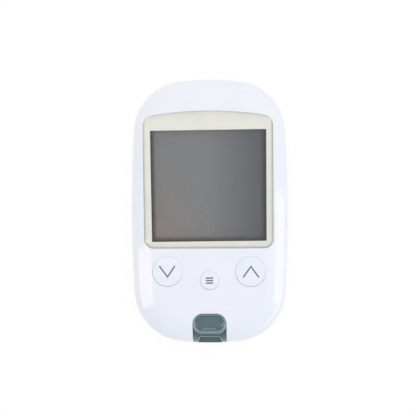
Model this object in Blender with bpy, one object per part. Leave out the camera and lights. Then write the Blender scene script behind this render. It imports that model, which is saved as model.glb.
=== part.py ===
"""A hand-held blood glucose meter, lying on its back, in metres with +Z up.

The display faces +Z and the strip mouth faces -Y. The origin is the centre of the case in plan, on the
flat back that it rests on. Every sub-part is one object. What moves hangs on an empty on its joint's axis:
three keys, the ejector slide and the battery door.
"""

import math

import bmesh
import bpy
from mathutils import Matrix, Vector

# Case: outline in plan, crown of the face, wall and the line where its halves meet
CASE_WIDTH = 0.0572
CASE_LENGTH = 0.0960
CASE_HEIGHT = 0.0190
END_RADIUS = 0.1100
CORNER_RADIUS = 0.0190
SIDE_RADIUS = 0.4800
CROWN_ACROSS_RADIUS = 0.6000
CROWN_ALONG_RADIUS = 2.6000
FRONT_SIDE_SHOULDER = 0.0080
FRONT_END_SHOULDER = 0.0092
REAR_SIDE_SHOULDER = 0.0068
REAR_END_SHOULDER = 0.0085
SHOULDER_POWER = 2.1
WALL = 0.0016
PART_LINE_SHARE = 0.442
PART_LINE_GAP = 0.0003
SIDE_BAND = 0.0008
LIP_HEIGHT = 0.0010
LIP_GAP = 0.0001
REBATE_GAP = 0.00015

# Fits that several pieces share
SEAT_GAP = 0.0001
FILM_GAP = 0.00005
SLIDE_GAP = 0.0002
OVERRUN = 0.0020

# Display window: the lens, the print behind it, the tape that holds it and its seat in the front cover
LENS_SIDE_MARGIN = 0.0053
LENS_LOW_MARGIN = 0.0348
LENS_TOP_MARGIN = 0.0121
LENS_ARCH_RADIUS = 0.1270
LENS_CORNER_RADIUS = 0.0026
LENS_EDGE_GAP = 0.00015
LENS_BEVEL_WIDTH = 0.0012
LENS_BEVEL_DEPTH = 0.0005
LENS_PROUD = 0.0001
LENS_SEAT_DEPTH = 0.0025
LENS_LEDGE = 0.0018
TAPE_THICKNESS = 0.0003
TAPE_WIDTH = 0.0013
MASK_THICKNESS = 0.00015
MASK_INSET = 0.0003
WINDOW_FRAME_WALL = 0.0010
WINDOW_FRAME_DEPTH = 0.0014
VIEW_SIDE_MARGIN = 0.0027
VIEW_LOW_MARGIN = 0.0025
VIEW_TOP_MARGIN = 0.0068

# Display stack, from its front polariser down to the board
POLARISER_MARGIN = 0.0004
POLARISER_THICKNESS = 0.0002
GLASS_SIDE_MARGIN = 0.0014
GLASS_END_MARGIN = 0.0006
GLASS_THICKNESS = 0.0009
GLASS_LEDGE = 0.0035
BACKLIGHT_THICKNESS = 0.0016
BACKLIGHT_MARGIN = 0.0003
HOLDER_WALL = 0.0011
HOLDER_LEDGE = 0.0020
HOLDER_LEDGE_THICKNESS = 0.0010
HOLDER_TOP_DROP = 0.0003
ZEBRA_END_GAP = 0.0025
ZEBRA_WIDTH = 0.0018

# Main board
BOARD_RISE = 0.0008
BOARD_THICKNESS = 0.0012
BOARD_MARGIN = 0.0032
PROCESSOR_SIZE = 0.0100
PROCESSOR_HEIGHT = 0.0012
PROCESSOR_X = -0.0060
PROCESSOR_SHIFT = -0.0012
MEMORY_WIDTH = 0.0050
MEMORY_LENGTH = 0.0062
MEMORY_HEIGHT = 0.0010
MEMORY_X = 0.0085
MEMORY_SHIFT = 0.0040
CRYSTAL_LENGTH = 0.0070
CRYSTAL_WIDTH = 0.0022
CRYSTAL_HEIGHT = 0.0014
CRYSTAL_X = 0.0070
CRYSTAL_SHIFT = -0.0060
BUZZER_RADIUS = 0.0055
BUZZER_HEIGHT = 0.0032
BUZZER_PORT_RADIUS = 0.0010
BUZZER_PORT_DEPTH = 0.0015
BUZZER_END_MARGIN = 0.0096

# Keys and the tactile switches under them
WIDE_KEY_RADIUS = 0.00545
MODE_KEY_RADIUS = 0.00345
WIDE_KEY_PLACE_SHARE = 0.2605
WIDE_KEY_LENS_GAP = 0.00295
MODE_KEY_SETBACK = 0.01965
KEY_PROUD = 0.00015
KEY_BEVEL = 0.00025
KEY_TRAVEL = 0.0005
KEY_FLANGE = 0.0011
KEY_FLANGE_THICKNESS = 0.0009
KEY_FLANGE_GAP = 0.0003
KEY_COLLAR_DEPTH = 0.0021
KEY_POST_RADIUS = 0.0015
SWITCH_SIZE = 0.0052
SWITCH_HEIGHT = 0.0018
SWITCH_FLOOR = 0.0006
PLUNGER_RADIUS = 0.0012
PLUNGER_LENGTH = 0.0014
PLUNGER_SHOWN = 0.0009

# Strip port block at the lower end, under the ejector's thumb piece
PORT_WIDTH = 0.0121
PORT_LENGTH = 0.0121
PORT_EDGE_GAP = 0.00015
PORT_DECK_DEPTH = 0.0030
PORT_RAIL_WIDTH = 0.0006
PORT_RAIL_HEIGHT = 0.0005
PORT_EAR_WIDTH = 0.0024
PORT_EAR_LENGTH = 0.0070
PORT_EAR_THICKNESS = 0.0012
PORT_EAR_RISE = 0.0020
CUTOUT_LENGTH = 0.0114
CUTOUT_CORNER_RADIUS = 0.0032
SLOT_WIDTH = 0.0078
SLOT_FLOOR_RISE = 0.0008
SLOT_HEIGHT = 0.0013
MOUTH_INNER_WIDTH = 0.0075
MOUTH_OUTER_WIDTH = 0.0088
MOUTH_DEPTH = 0.0026
MOUTH_FLOOR_RISE = 0.0004

# Ejector: thumb piece on the deck, pusher under it, return spring behind it
EJECTOR_TRAVEL = 0.0030
THUMB_LENGTH = 0.0073
THUMB_SIDE_GAP = 0.0003
THUMB_PROUD = 0.0003
THUMB_SLOPE_SHARE = 0.15
THUMB_CORNER_RADIUS = 0.0030
THUMB_EDGE = 0.0003
PAN_RIM = 0.0008
PAN_WALL = 0.0007
PAN_DEPTH = 0.0009
PAN_SHIFT = 0.0002
GRIP_LENGTH = 0.0046
GRIP_WIDTH = 0.0009
GRIP_HEIGHT = 0.0004
GRIP_EDGE = 0.0002
LEG_X = 0.0019
LEG_WIDTH = 0.0010
LEG_LENGTH = 0.0014
LEG_SETBACK = 0.0020
PUSHER_THICKNESS = 0.0009
PUSHER_PLATE_WIDTH = 0.0066
PUSHER_ARM_WIDTH = 0.0040
PUSHER_LEAD = 0.0010
PUSHER_TAIL = 0.0018
PUSHER_SPACE_GAP = 0.00015
SPACE_FRONT_WALL = 0.0036
SLOT_ROOF = 0.0010
FINGER_WIDTH = 0.0016
FINGER_LENGTH = 0.0012
FINGER_SETBACK = 0.0167
TAB_WIDTH = 0.0026
TAB_LENGTH = 0.0008
SPRING_RADIUS = 0.0009
SPRING_WIRE_RADIUS = 0.00015
SPRING_TURNS = 5

# Strip connector on the board
CONNECTOR_WIDTH = 0.0112
CONNECTOR_HEIGHT = 0.00305
CONNECTOR_LENGTH = 0.0064
CONNECTOR_REAR_WALL = 0.0010
CONNECTOR_FRONT_GAP = 0.0003
FINGER_SLIT_WIDTH = 0.0024
FINGER_SLIT_FRONT_WALL = 0.00035
CONTACT_WIDTH = 0.0005
CONTACT_THICKNESS = 0.00015
CONTACT_INNER_X = 0.0021
CONTACT_PITCH = 0.0011
CONTACT_GROOVE_WIDTH = 0.0008
CONTACT_GROOVE_HEIGHT = 0.0008
CONTACT_FOOT = 0.0006
CONTACT_TAIL_GAP = 0.0003

# Battery bay in the rear cover, its cells and contacts
CELL_RADIUS = 0.0100
CELL_HEIGHT = 0.0032
CELL_EDGE = 0.0003
CELL_CAP_STEP = 0.0012
CELL_CAP_HEIGHT = 0.0003
CELL_RADIAL_GAP = 0.0004
CELL_SPACING = 0.0209
BAY_CENTRE_Y = 0.0015
BAY_WALL = 0.0012
BAY_ROOF = 0.0012
BAY_HEADROOM = 0.0010
CONTACT_STRIP_THICKNESS = 0.00025
CONTACT_STRIP_GAP = 0.0001
NEGATIVE_STRIP_WIDTH = 0.0030
NEGATIVE_STRIP_REACH = 0.0060
POSITIVE_STRIP_WIDTH = 0.0040
POSITIVE_STRIP_BOW = 0.0004
CONTACT_SLOT_GAP = 0.0002

# Battery door
DOOR_WIDTH = 0.0260
DOOR_LENGTH = 0.0500
DOOR_THICKNESS = 0.0015
DOOR_CORNER_RADIUS = 0.0030
DOOR_EDGE_GAP = 0.0003
DOOR_SINK = 0.0001
DOOR_CHAMFER = 0.0003
DOOR_LEDGE_WALL = 0.0012
HOOK_X = 0.0070
HOOK_WIDTH = 0.0040
HOOK_REACH = 0.0012
HOOK_ROOT = 0.0020
HOOK_THICKNESS = 0.0008
HOOK_POCKET_GAP = 0.0004
HOOK_RIM = 0.0012
TONGUE_WIDTH = 0.0080
TONGUE_LENGTH = 0.0070
TONGUE_SLIT = 0.0006
CATCH_WIDTH = 0.0050
CATCH_HEIGHT = 0.0005
CATCH_REACH = 0.0002
SCOOP_WIDTH = 0.0110
SCOOP_LENGTH = 0.0045
SCOOP_DEPTH = 0.0010

# Screws and the bosses that they clamp the board between
UPPER_SCREW_SIDE_MARGIN = 0.0118
UPPER_SCREW_END_MARGIN = 0.0114
LOWER_SCREW_SIDE_MARGIN = 0.0114
LOWER_SCREW_END_MARGIN = 0.0124
SCREW_SHANK_RADIUS = 0.0009
SCREW_HEAD_RADIUS = 0.0018
SCREW_HEAD_HEIGHT = 0.0012
SCREW_HEAD_DOME = 0.0004
SCREW_TIP_DEPTH = 0.0050
SCREW_HEAD_SEAT_Z = 0.0030
SCREW_HOLE_GAP = 0.0002
COUNTERBORE_GAP = 0.0004
REAR_BOSS_RADIUS = 0.0034
FRONT_BOSS_RADIUS = 0.0028
BOSS_BOARD_GAP = 0.0002
PILOT_SPARE = 0.0010

# Places in plan that follow from the case, and sizes that follow from the display window
CASE_HALF = CASE_WIDTH / 2
CASE_END_Y = CASE_LENGTH / 2
LENS_WIDTH = CASE_WIDTH - 2 * LENS_SIDE_MARGIN
LENS_LOW_Y = LENS_LOW_MARGIN - CASE_END_Y
LENS_TOP_Y = CASE_END_Y - LENS_TOP_MARGIN
VIEW_WIDTH = LENS_WIDTH - 2 * VIEW_SIDE_MARGIN
VIEW_LENGTH = LENS_TOP_Y - VIEW_TOP_MARGIN - LENS_LOW_Y - VIEW_LOW_MARGIN
VIEW_CENTRE_Y = LENS_LOW_Y + VIEW_LOW_MARGIN + VIEW_LENGTH / 2
POLARISER_WIDTH = VIEW_WIDTH + 2 * POLARISER_MARGIN
POLARISER_LENGTH = VIEW_LENGTH + 2 * POLARISER_MARGIN
GLASS_WIDTH = VIEW_WIDTH + 2 * GLASS_SIDE_MARGIN
GLASS_LENGTH = VIEW_LENGTH + 2 * GLASS_END_MARGIN
ZEBRA_LENGTH = GLASS_WIDTH - 2 * ZEBRA_END_GAP
WIDE_KEY_X = CASE_WIDTH * WIDE_KEY_PLACE_SHARE
WIDE_KEY_Y = LENS_LOW_Y - WIDE_KEY_LENS_GAP - WIDE_KEY_RADIUS
MODE_KEY_Y = MODE_KEY_SETBACK + MODE_KEY_RADIUS - CASE_END_Y
PORT_REAR_Y = PORT_LENGTH - CASE_END_Y
CUTOUT_REAR_Y = CUTOUT_LENGTH - CASE_END_Y
FINGER_Y = FINGER_SETBACK - CASE_END_Y
BUZZER_Y = CASE_END_Y - BUZZER_END_MARGIN
UPPER_SCREW_PLACE = (CASE_HALF - UPPER_SCREW_SIDE_MARGIN, CASE_END_Y - UPPER_SCREW_END_MARGIN)
LOWER_SCREW_PLACE = (CASE_HALF - LOWER_SCREW_SIDE_MARGIN, LOWER_SCREW_END_MARGIN - CASE_END_Y)

# Heights that follow from the sizes above
PART_LINE_Z = CASE_HEIGHT * PART_LINE_SHARE
LENS_SEAT_Z = CASE_HEIGHT - LENS_SEAT_DEPTH
BOARD_TOP_Z = PART_LINE_Z + BOARD_RISE
PORT_DECK_Z = CASE_HEIGHT - PORT_DECK_DEPTH
PORT_EAR_Z = PART_LINE_Z + PORT_EAR_RISE
SLOT_FLOOR_Z = BOARD_TOP_Z + SLOT_FLOOR_RISE
SCREW_TIP_Z = CASE_HEIGHT - SCREW_TIP_DEPTH
FRONT_LOW_Z = PART_LINE_Z + PART_LINE_GAP / 2
REAR_TOP_Z = PART_LINE_Z - PART_LINE_GAP / 2
LIP_TOP_Z = REAR_TOP_Z + LIP_HEIGHT
BOARD_LOW_Z = BOARD_TOP_Z - BOARD_THICKNESS
MASK_LOW_Z = LENS_SEAT_Z + TAPE_THICKNESS + 2 * FILM_GAP
LENS_LOW_Z = MASK_LOW_Z + MASK_THICKNESS + FILM_GAP
STACK_TOP_Z = LENS_SEAT_Z - WINDOW_FRAME_DEPTH - SLIDE_GAP
FRONT_GLASS_LOW_Z = STACK_TOP_Z - POLARISER_THICKNESS - FILM_GAP - GLASS_THICKNESS
REAR_GLASS_LOW_Z = FRONT_GLASS_LOW_Z - FILM_GAP - GLASS_THICKNESS
REAR_POLARISER_LOW_Z = REAR_GLASS_LOW_Z - FILM_GAP - POLARISER_THICKNESS
BACKLIGHT_LOW_Z = REAR_POLARISER_LOW_Z - SEAT_GAP - BACKLIGHT_THICKNESS
PUSHER_LOW_Z = SLOT_FLOOR_Z + SLOT_HEIGHT + SLOT_ROOF + PUSHER_SPACE_GAP
PUSHER_TOP_Z = PUSHER_LOW_Z + PUSHER_THICKNESS
THUMB_REAR_Y = CUTOUT_REAR_Y - THUMB_SIDE_GAP
THUMB_LOW_Z = PORT_DECK_Z + SLIDE_GAP
DOOR_INNER_Z = DOOR_SINK + DOOR_THICKNESS
DOOR_SEAT_Z = DOOR_INNER_Z + SEAT_GAP
DOOR_HINGE_Y = BAY_CENTRE_Y + DOOR_LENGTH / 2
CELL_LOW_Z = DOOR_SEAT_Z + SEAT_GAP
CELL_TOP_Z = CELL_LOW_Z + CELL_HEIGHT
BAY_CEILING_Z = CELL_TOP_Z + BAY_HEADROOM
BAY_NICHE_X = CELL_RADIUS + CELL_RADIAL_GAP + 2 * CONTACT_STRIP_THICKNESS
CELL_CENTRES_Y = (BAY_CENTRE_Y - CELL_SPACING / 2, BAY_CENTRE_Y + CELL_SPACING / 2)

SIDE_STEPS = 4
CORNER_STEPS = 8
END_STEPS = 4
SHOULDER_STEPS = 7
INNER_SHOULDER_STEPS = 4
FACE_RING_SHARES = (0.72, 0.40)
ROUND_STEPS = 32
SMALL_STEPS = 16
SHARP_ANGLE = math.radians(35)

FINISHES = {
    "case white": ((0.84, 0.87, 0.95), 0.22, 0.0),
    "key white": ((0.84, 0.87, 0.95), 0.25, 0.0),
    "clear acrylic": ((0.80, 0.84, 0.84), 0.05, 0.0),
    "cream print": ((0.77, 0.77, 0.71), 0.45, 0.0),
    "foam tape": ((0.05, 0.05, 0.05), 0.90, 0.0),
    "dark polariser": ((0.17, 0.19, 0.20), 0.35, 0.0),
    "display glass": ((0.45, 0.50, 0.50), 0.08, 0.0),
    "light guide": ((0.85, 0.86, 0.84), 0.40, 0.0),
    "holder black": ((0.04, 0.04, 0.04), 0.55, 0.0),
    "zebra rubber": ((0.42, 0.13, 0.10), 0.70, 0.0),
    "board green": ((0.03, 0.20, 0.09), 0.45, 0.0),
    "chip black": ((0.03, 0.03, 0.03), 0.50, 0.0),
    "can metal": ((0.70, 0.71, 0.72), 0.30, 1.0),
    "slate plastic": ((0.13, 0.18, 0.21), 0.30, 0.0),
    "spring steel": ((0.62, 0.62, 0.62), 0.30, 1.0),
    "gold plate": ((0.83, 0.60, 0.25), 0.30, 1.0),
    "nickel plate": ((0.66, 0.63, 0.58), 0.28, 1.0),
    "cell steel": ((0.74, 0.74, 0.73), 0.25, 1.0),
    "screw steel": ((0.35, 0.35, 0.36), 0.35, 1.0),
}


def clear_scene():
    """Removes what the scene holds, so that the meter stands alone."""
    for obj in list(bpy.data.objects):
        bpy.data.objects.remove(obj)


def material(name):
    """The material of that name in FINISHES, made when it is first asked for."""
    made = bpy.data.materials.get(name)
    if made:
        return made
    colour, roughness, metallic = FINISHES[name]
    made = bpy.data.materials.new(name)
    made.use_nodes = True
    shader = made.node_tree.nodes["Principled BSDF"]
    shader.inputs["Base Color"].default_value = (*colour, 1.0)
    shader.inputs["Roughness"].default_value = roughness
    shader.inputs["Metallic"].default_value = metallic
    return made


def mesh_object(name, bm, finish=None):
    """An object from a bmesh: a sub-part with its finish, or, with none, a hidden cutter."""
    bmesh.ops.recalc_face_normals(bm, faces=bm.faces)
    mesh = bpy.data.meshes.new(name)
    bm.to_mesh(mesh)
    bm.free()
    obj = bpy.data.objects.new(name, mesh)
    bpy.context.scene.collection.objects.link(obj)
    if finish:
        mesh.materials.append(material(finish))
        mesh.shade_smooth()
        mesh.set_sharp_from_angle(angle=SHARP_ANGLE)
    else:
        obj.hide_render = True
        obj.display_type = "WIRE"
    return obj


def loft(name, rings, finish=None, tip=None):
    """A closed solid through rings of equal count. It starts in a flat cap and ends in one, or in a tip."""
    bm = bmesh.new()
    levels = [[bm.verts.new(point) for point in ring] for ring in rings]
    count = len(levels[0])
    bm.faces.new(levels[0])
    for low, high in zip(levels, levels[1:]):
        for i in range(count):
            j = (i + 1) % count
            bm.faces.new((low[i], low[j], high[j], high[i]))
    if tip is None:
        bm.faces.new(levels[-1])
    else:
        end = bm.verts.new(tip)
        for i in range(count):
            bm.faces.new((levels[-1][i], levels[-1][(i + 1) % count], end))
    return mesh_object(name, bm, finish)


def at_height(outline, z):
    """Plan points raised to z, which is a height or a function of x and y."""
    return [(x, y, z(x, y) if callable(z) else z) for x, y in outline]


def prism(name, outline, low, high, finish=None):
    """An upright solid on a plan outline."""
    return loft(name, [at_height(outline, low), at_height(outline, high)], finish)


def rectangle(x_span, y_span):
    """The four corners of a plan rectangle."""
    (x0, x1), (y0, y1) = x_span, y_span
    return [(x0, y0), (x1, y0), (x1, y1), (x0, y1)]


def box(name, x_span, y_span, z_span, finish=None):
    """An upright box between three spans."""
    return prism(name, rectangle(x_span, y_span), *z_span, finish)


def about(centre, size):
    """The span of that size about a centre."""
    return (centre - size / 2, centre + size / 2)


def circle(centre, radius, steps=ROUND_STEPS):
    """Plan points of a circle."""
    turns = [math.tau * i / steps for i in range(steps)]
    return [(centre[0] + radius * math.cos(t), centre[1] + radius * math.sin(t)) for t in turns]


def cylinder(name, centre, radius, low, high, finish=None, steps=ROUND_STEPS):
    """An upright round bar."""
    return prism(name, circle(centre, radius, steps), low, high, finish)


def arc(centre, radius, start, end, steps):
    """Plan points along an arc, with both ends."""
    turns = [start + (end - start) * i / steps for i in range(steps + 1)]
    return [(centre[0] + radius * math.cos(t), centre[1] + radius * math.sin(t)) for t in turns]


def rounded_rectangle(centre, width, length, radius, steps=4):
    """Plan points of a rectangle with four round corners."""
    points = []
    for quarter, (sx, sy) in enumerate(((1, -1), (1, 1), (-1, 1), (-1, -1))):
        corner = (centre[0] + sx * (width / 2 - radius), centre[1] + sy * (length / 2 - radius))
        start = (quarter - 1) * math.pi / 2
        points += arc(corner, radius, start, start + math.pi / 2, steps)
    return points


def cut(target, cutter, operation="DIFFERENCE"):
    """Adds a live Boolean to the target."""
    modifier = target.modifiers.new(cutter.name, "BOOLEAN")
    modifier.object = cutter
    modifier.operation = operation
    return target


def hang(obj, empty):
    """Parents a piece to the empty on its joint's axis, with the piece's origin moved there too."""
    obj.data.transform(Matrix.Translation(-empty.location))
    obj.parent = empty
    return obj


def axis_empty(name, place):
    """The empty that a moving group hangs on."""
    empty = bpy.data.objects.new(name, None)
    empty.location = place
    bpy.context.scene.collection.objects.link(empty)
    return empty


def case_outline():
    """Plan points of the case with their outward normals: side, corner and end arcs that meet smoothly."""
    side = Vector((CASE_HALF - SIDE_RADIUS, 0))
    end = Vector((0, CASE_END_Y - END_RADIUS))
    between = side - end
    near, far = END_RADIUS - CORNER_RADIUS, SIDE_RADIUS - CORNER_RADIUS
    along = (near**2 - far**2 + between.length_squared) / (2 * between.length)
    off = math.sqrt(near**2 - along**2)
    way = between.normalized()
    corner = end + way * along + Vector((-way.y, way.x)) * -off
    if corner.x < 0:
        corner = end + way * along + Vector((-way.y, way.x)) * off
    from_side = math.atan2(corner.y - side.y, corner.x - side.x)
    from_end = math.atan2(corner.y - end.y, corner.x - end.x)
    quarter = []
    for centre, radius, start, stop, steps in (
        (side, SIDE_RADIUS, 0.0, from_side, SIDE_STEPS),
        (corner, CORNER_RADIUS, from_side, from_end, CORNER_STEPS),
        (end, END_RADIUS, from_end, math.pi / 2, END_STEPS),
    ):
        for step in range(steps):
            turn = start + (stop - start) * step / steps
            normal = (math.cos(turn), math.sin(turn))
            quarter.append((centre.x + radius * normal[0], centre.y + radius * normal[1], *normal))
    quarter.append((0.0, CASE_END_Y, 0.0, 1.0))
    upper_left = [(-x, y, -nx, ny) for x, y, nx, ny in reversed(quarter)]
    upper = quarter[:-1] + upper_left[:-1]
    lower = [(-x, -y, -nx, -ny) for x, y, nx, ny in upper]
    return upper + lower


def inset_outline(inset):
    """The case outline moved inwards by the same distance all round."""
    return [(x - nx * inset, y - ny * inset) for x, y, nx, ny in case_outline()]


def shoulder_rings(wall, base, level, side, end, steps):
    """Rings from the side band over the shoulder. level gives the height that they rise or fall to."""
    rings = []
    for step in range(1, steps + 1):
        turn = math.pi / 2 * step / steps
        across = 1 - abs(math.cos(turn)) ** (2 / SHOULDER_POWER)
        rise = math.sin(turn) ** (2 / SHOULDER_POWER)
        ring = []
        for x, y, nx, ny in case_outline():
            inset = wall + across * (side + (end - side) * ny**2)
            px, py = x - nx * inset, y - ny * inset
            ring.append((px, py, base + (level(px, py) - base) * rise))
        rings.append(ring)
    return rings


def face_height(x, y):
    """Height of the crowned face."""
    return CASE_HEIGHT - x**2 / (2 * CROWN_ACROSS_RADIUS) - y**2 / (2 * CROWN_ALONG_RADIUS)


def front_form(name, wall, foot, steps, finish=None):
    """The front half's crowned form, wall inside its skin. foot lists the (inset, height) rings below it."""

    def level(x, y):
        return face_height(x, y) - wall

    rings = [at_height(inset_outline(inset), z) for inset, z in foot]
    rings += shoulder_rings(wall, foot[-1][1], level, FRONT_SIDE_SHOULDER, FRONT_END_SHOULDER, steps)
    edge = rings[-1]
    for share in FACE_RING_SHARES:
        rings.append(at_height([(x * share, y * share) for x, y, z in edge], level))
    return loft(name, rings, finish, tip=(0, 0, level(0, 0)))


def rear_form(name, wall, head, steps, finish=None):
    """The rear half's flat-backed form, wall inside its skin. head lists the (inset, height) rings on it."""
    rings = shoulder_rings(wall, head[0][1], lambda x, y: wall, REAR_SIDE_SHOULDER, REAR_END_SHOULDER, steps)
    rings.reverse()
    return loft(name, rings + [at_height(inset_outline(inset), z) for inset, z in head], finish)


def lens_outline(inset):
    """Plan points of the display window: straight sides and foot, round corners and an arched top."""
    half = LENS_WIDTH / 2 - inset
    low, top = LENS_LOW_Y + inset, LENS_TOP_Y - inset
    arch, corner = LENS_ARCH_RADIUS - inset, max(LENS_CORNER_RADIUS - inset, LENS_CORNER_RADIUS / 4)
    arch_centre = (0.0, top - arch)
    rise = math.sqrt((arch - corner) ** 2 - (half - corner) ** 2)
    meets = math.atan2(rise, half - corner)
    right = arc((half - corner, low + corner), corner, -math.pi / 2, 0, 5)
    right += arc((half - corner, arch_centre[1] + rise), corner, 0, meets, 5)
    right += arc(arch_centre, arch, meets, math.pi / 2, 5)[1:]
    return right + [(-x, y) for x, y in reversed(right[:-1])]


def port_plan(width, rear, radius):
    """Plan points of the port's cut-out and thumb piece: open towards the lower end, round at the rear."""
    front = -CASE_END_Y - OVERRUN
    right = arc((width / 2 - radius, rear - radius), radius, 0, math.pi / 2, 5)
    return [(-width / 2, front), (width / 2, front)] + right + [(-x, y) for x, y in reversed(right)]


def screw_places():
    """Where the four case screws stand in plan."""
    return [(side * x, y) for x, y in (UPPER_SCREW_PLACE, LOWER_SCREW_PLACE) for side in (-1, 1)]


def keys():
    """Name, plan centre and radius of each key."""
    return (
        ("down", (-WIDE_KEY_X, WIDE_KEY_Y), WIDE_KEY_RADIUS),
        ("mode", (0.0, MODE_KEY_Y), MODE_KEY_RADIUS),
        ("up", (WIDE_KEY_X, WIDE_KEY_Y), WIDE_KEY_RADIUS),
    )


def port_cutout(name):
    """The cutter that opens both halves of the case for the strip port, from the parting line up."""
    plan = port_plan(PORT_WIDTH + 2 * PORT_EDGE_GAP, CUTOUT_REAR_Y, CUTOUT_CORNER_RADIUS)
    return prism(name, plan, PART_LINE_Z, CASE_HEIGHT + OVERRUN)


def front_cover():
    """Upper moulding: crowned shell with a window seat, collared key holes, port cut-out and bosses."""
    cover = front_form("front_cover", 0.0, [(0.0, FRONT_LOW_Z), (0.0, FRONT_LOW_Z + SIDE_BAND)],
                       SHOULDER_STEPS, "case white")
    rebate_top = LIP_TOP_Z + REBATE_GAP
    foot = [(WALL / 2, FRONT_LOW_Z - OVERRUN), (WALL / 2, rebate_top), (WALL, rebate_top),
            (WALL, rebate_top + SIDE_BAND)]
    cavity = front_form("cut_front_cavity", WALL, foot, INNER_SHOULDER_STEPS)
    above = CASE_HEIGHT + OVERRUN
    frame_low = LENS_SEAT_Z - WINDOW_FRAME_DEPTH
    frame = lens_outline(-LENS_EDGE_GAP - WINDOW_FRAME_WALL)
    cut(cavity, prism("keep_window_frame", frame, frame_low, above))
    for name, place, radius in keys():
        cut(cavity, cylinder(f"keep_key_collar_{name}", place, radius + KEY_FLANGE,
                             face_height(*place) - KEY_COLLAR_DEPTH, above))
    for number, place in enumerate(screw_places(), 1):
        boss_low = BOARD_TOP_Z + BOSS_BOARD_GAP
        cut(cavity, cylinder(f"keep_front_boss_{number}", place, FRONT_BOSS_RADIUS, boss_low, above,
                             steps=SMALL_STEPS))
    cut(cover, cavity)
    cut(cover, prism("cut_lens_seat", lens_outline(-LENS_EDGE_GAP), LENS_SEAT_Z, above))
    cut(cover, prism("cut_window", lens_outline(LENS_LEDGE), frame_low - OVERRUN, above))
    for name, place, radius in keys():
        hole_low = CASE_HEIGHT - KEY_COLLAR_DEPTH - OVERRUN
        cut(cover, cylinder(f"cut_key_hole_{name}", place, radius + SLIDE_GAP, hole_low, above))
    for number, place in enumerate(screw_places(), 1):
        pilot_top = SCREW_TIP_Z + PILOT_SPARE
        cut(cover, cylinder(f"cut_pilot_{number}", place, SCREW_SHANK_RADIUS + SCREW_HOLE_GAP,
                            BOARD_LOW_Z, pilot_top, steps=SMALL_STEPS))
    return cut(cover, port_cutout("cut_front_port"))


def rear_cover():
    """Lower moulding: flat-backed shell with a lip, battery bay, door recess and screw bosses."""
    lip_inset = WALL / 2 + LIP_GAP
    head = [(0.0, REAR_TOP_Z - SIDE_BAND), (0.0, REAR_TOP_Z), (lip_inset, REAR_TOP_Z), (lip_inset, LIP_TOP_Z)]
    cover = rear_form("rear_cover", 0.0, head, SHOULDER_STEPS, "case white")
    above = LIP_TOP_Z + OVERRUN
    cavity = rear_form("cut_rear_cavity", WALL, [(WALL, REAR_TOP_Z - SIDE_BAND), (WALL, above)],
                       INNER_SHOULDER_STEPS)
    bay_half = CELL_SPACING / 2 + CELL_RADIUS + CELL_RADIAL_GAP + BAY_WALL
    bay_x, bay_y = about(0, 2 * (BAY_NICHE_X + BAY_WALL)), about(BAY_CENTRE_Y, 2 * bay_half)
    cut(cavity, box("keep_bay", bay_x, bay_y, (-OVERRUN, BAY_CEILING_Z + BAY_ROOF)))
    ledge = 2 * (DOOR_EDGE_GAP + DOOR_LEDGE_WALL)
    cut(cavity, box("keep_door_ledge", about(0, DOOR_WIDTH + ledge), about(BAY_CENTRE_Y, DOOR_LENGTH + ledge),
                    (-OVERRUN, DOOR_SEAT_Z + DOOR_LEDGE_WALL)))
    for number, place in enumerate(screw_places(), 1):
        cut(cavity, cylinder(f"keep_rear_boss_{number}", place, REAR_BOSS_RADIUS, -OVERRUN,
                             BOARD_LOW_Z - BOSS_BOARD_GAP, steps=SMALL_STEPS))
    cut(cover, cavity)
    cut_battery_bay(cover)
    cut_door_recess(cover)
    for number, place in enumerate(screw_places(), 1):
        cut(cover, cylinder(f"cut_counterbore_{number}", place, SCREW_HEAD_RADIUS + COUNTERBORE_GAP, -OVERRUN,
                            SCREW_HEAD_SEAT_Z, steps=SMALL_STEPS))
        cut(cover, cylinder(f"cut_screw_hole_{number}", place, SCREW_SHANK_RADIUS + SCREW_HOLE_GAP, -OVERRUN,
                            above, steps=SMALL_STEPS))
    return cut(cover, port_cutout("cut_rear_port"))


def cut_battery_bay(cover):
    """Opens two round wells for the cells, a niche beside each and slots in the roof for the contacts."""
    roof = (BAY_CEILING_Z - OVERRUN, BAY_CEILING_Z + BAY_ROOF + OVERRUN)
    slot_width = CONTACT_STRIP_THICKNESS + 2 * CONTACT_SLOT_GAP
    for number, cell_y in enumerate(CELL_CENTRES_Y, 1):
        well = CELL_RADIUS + CELL_RADIAL_GAP
        cut(cover, cylinder(f"cut_cell_well_{number}", (0, cell_y), well, -OVERRUN, BAY_CEILING_Z))
        niche_y = about(cell_y, POSITIVE_STRIP_WIDTH + 2 * CONTACT_SLOT_GAP)
        cut(cover, box(f"cut_contact_niche_{number}", (0, BAY_NICHE_X), niche_y, (-OVERRUN, BAY_CEILING_Z)))
        cut(cover, box(f"cut_positive_slot_{number}", (BAY_NICHE_X - slot_width, BAY_NICHE_X), niche_y, roof))
        cut(cover, box(f"cut_negative_slot_{number}", about(0, NEGATIVE_STRIP_WIDTH + 2 * CONTACT_SLOT_GAP),
                       about(cell_y + NEGATIVE_STRIP_REACH, slot_width), roof))


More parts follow.
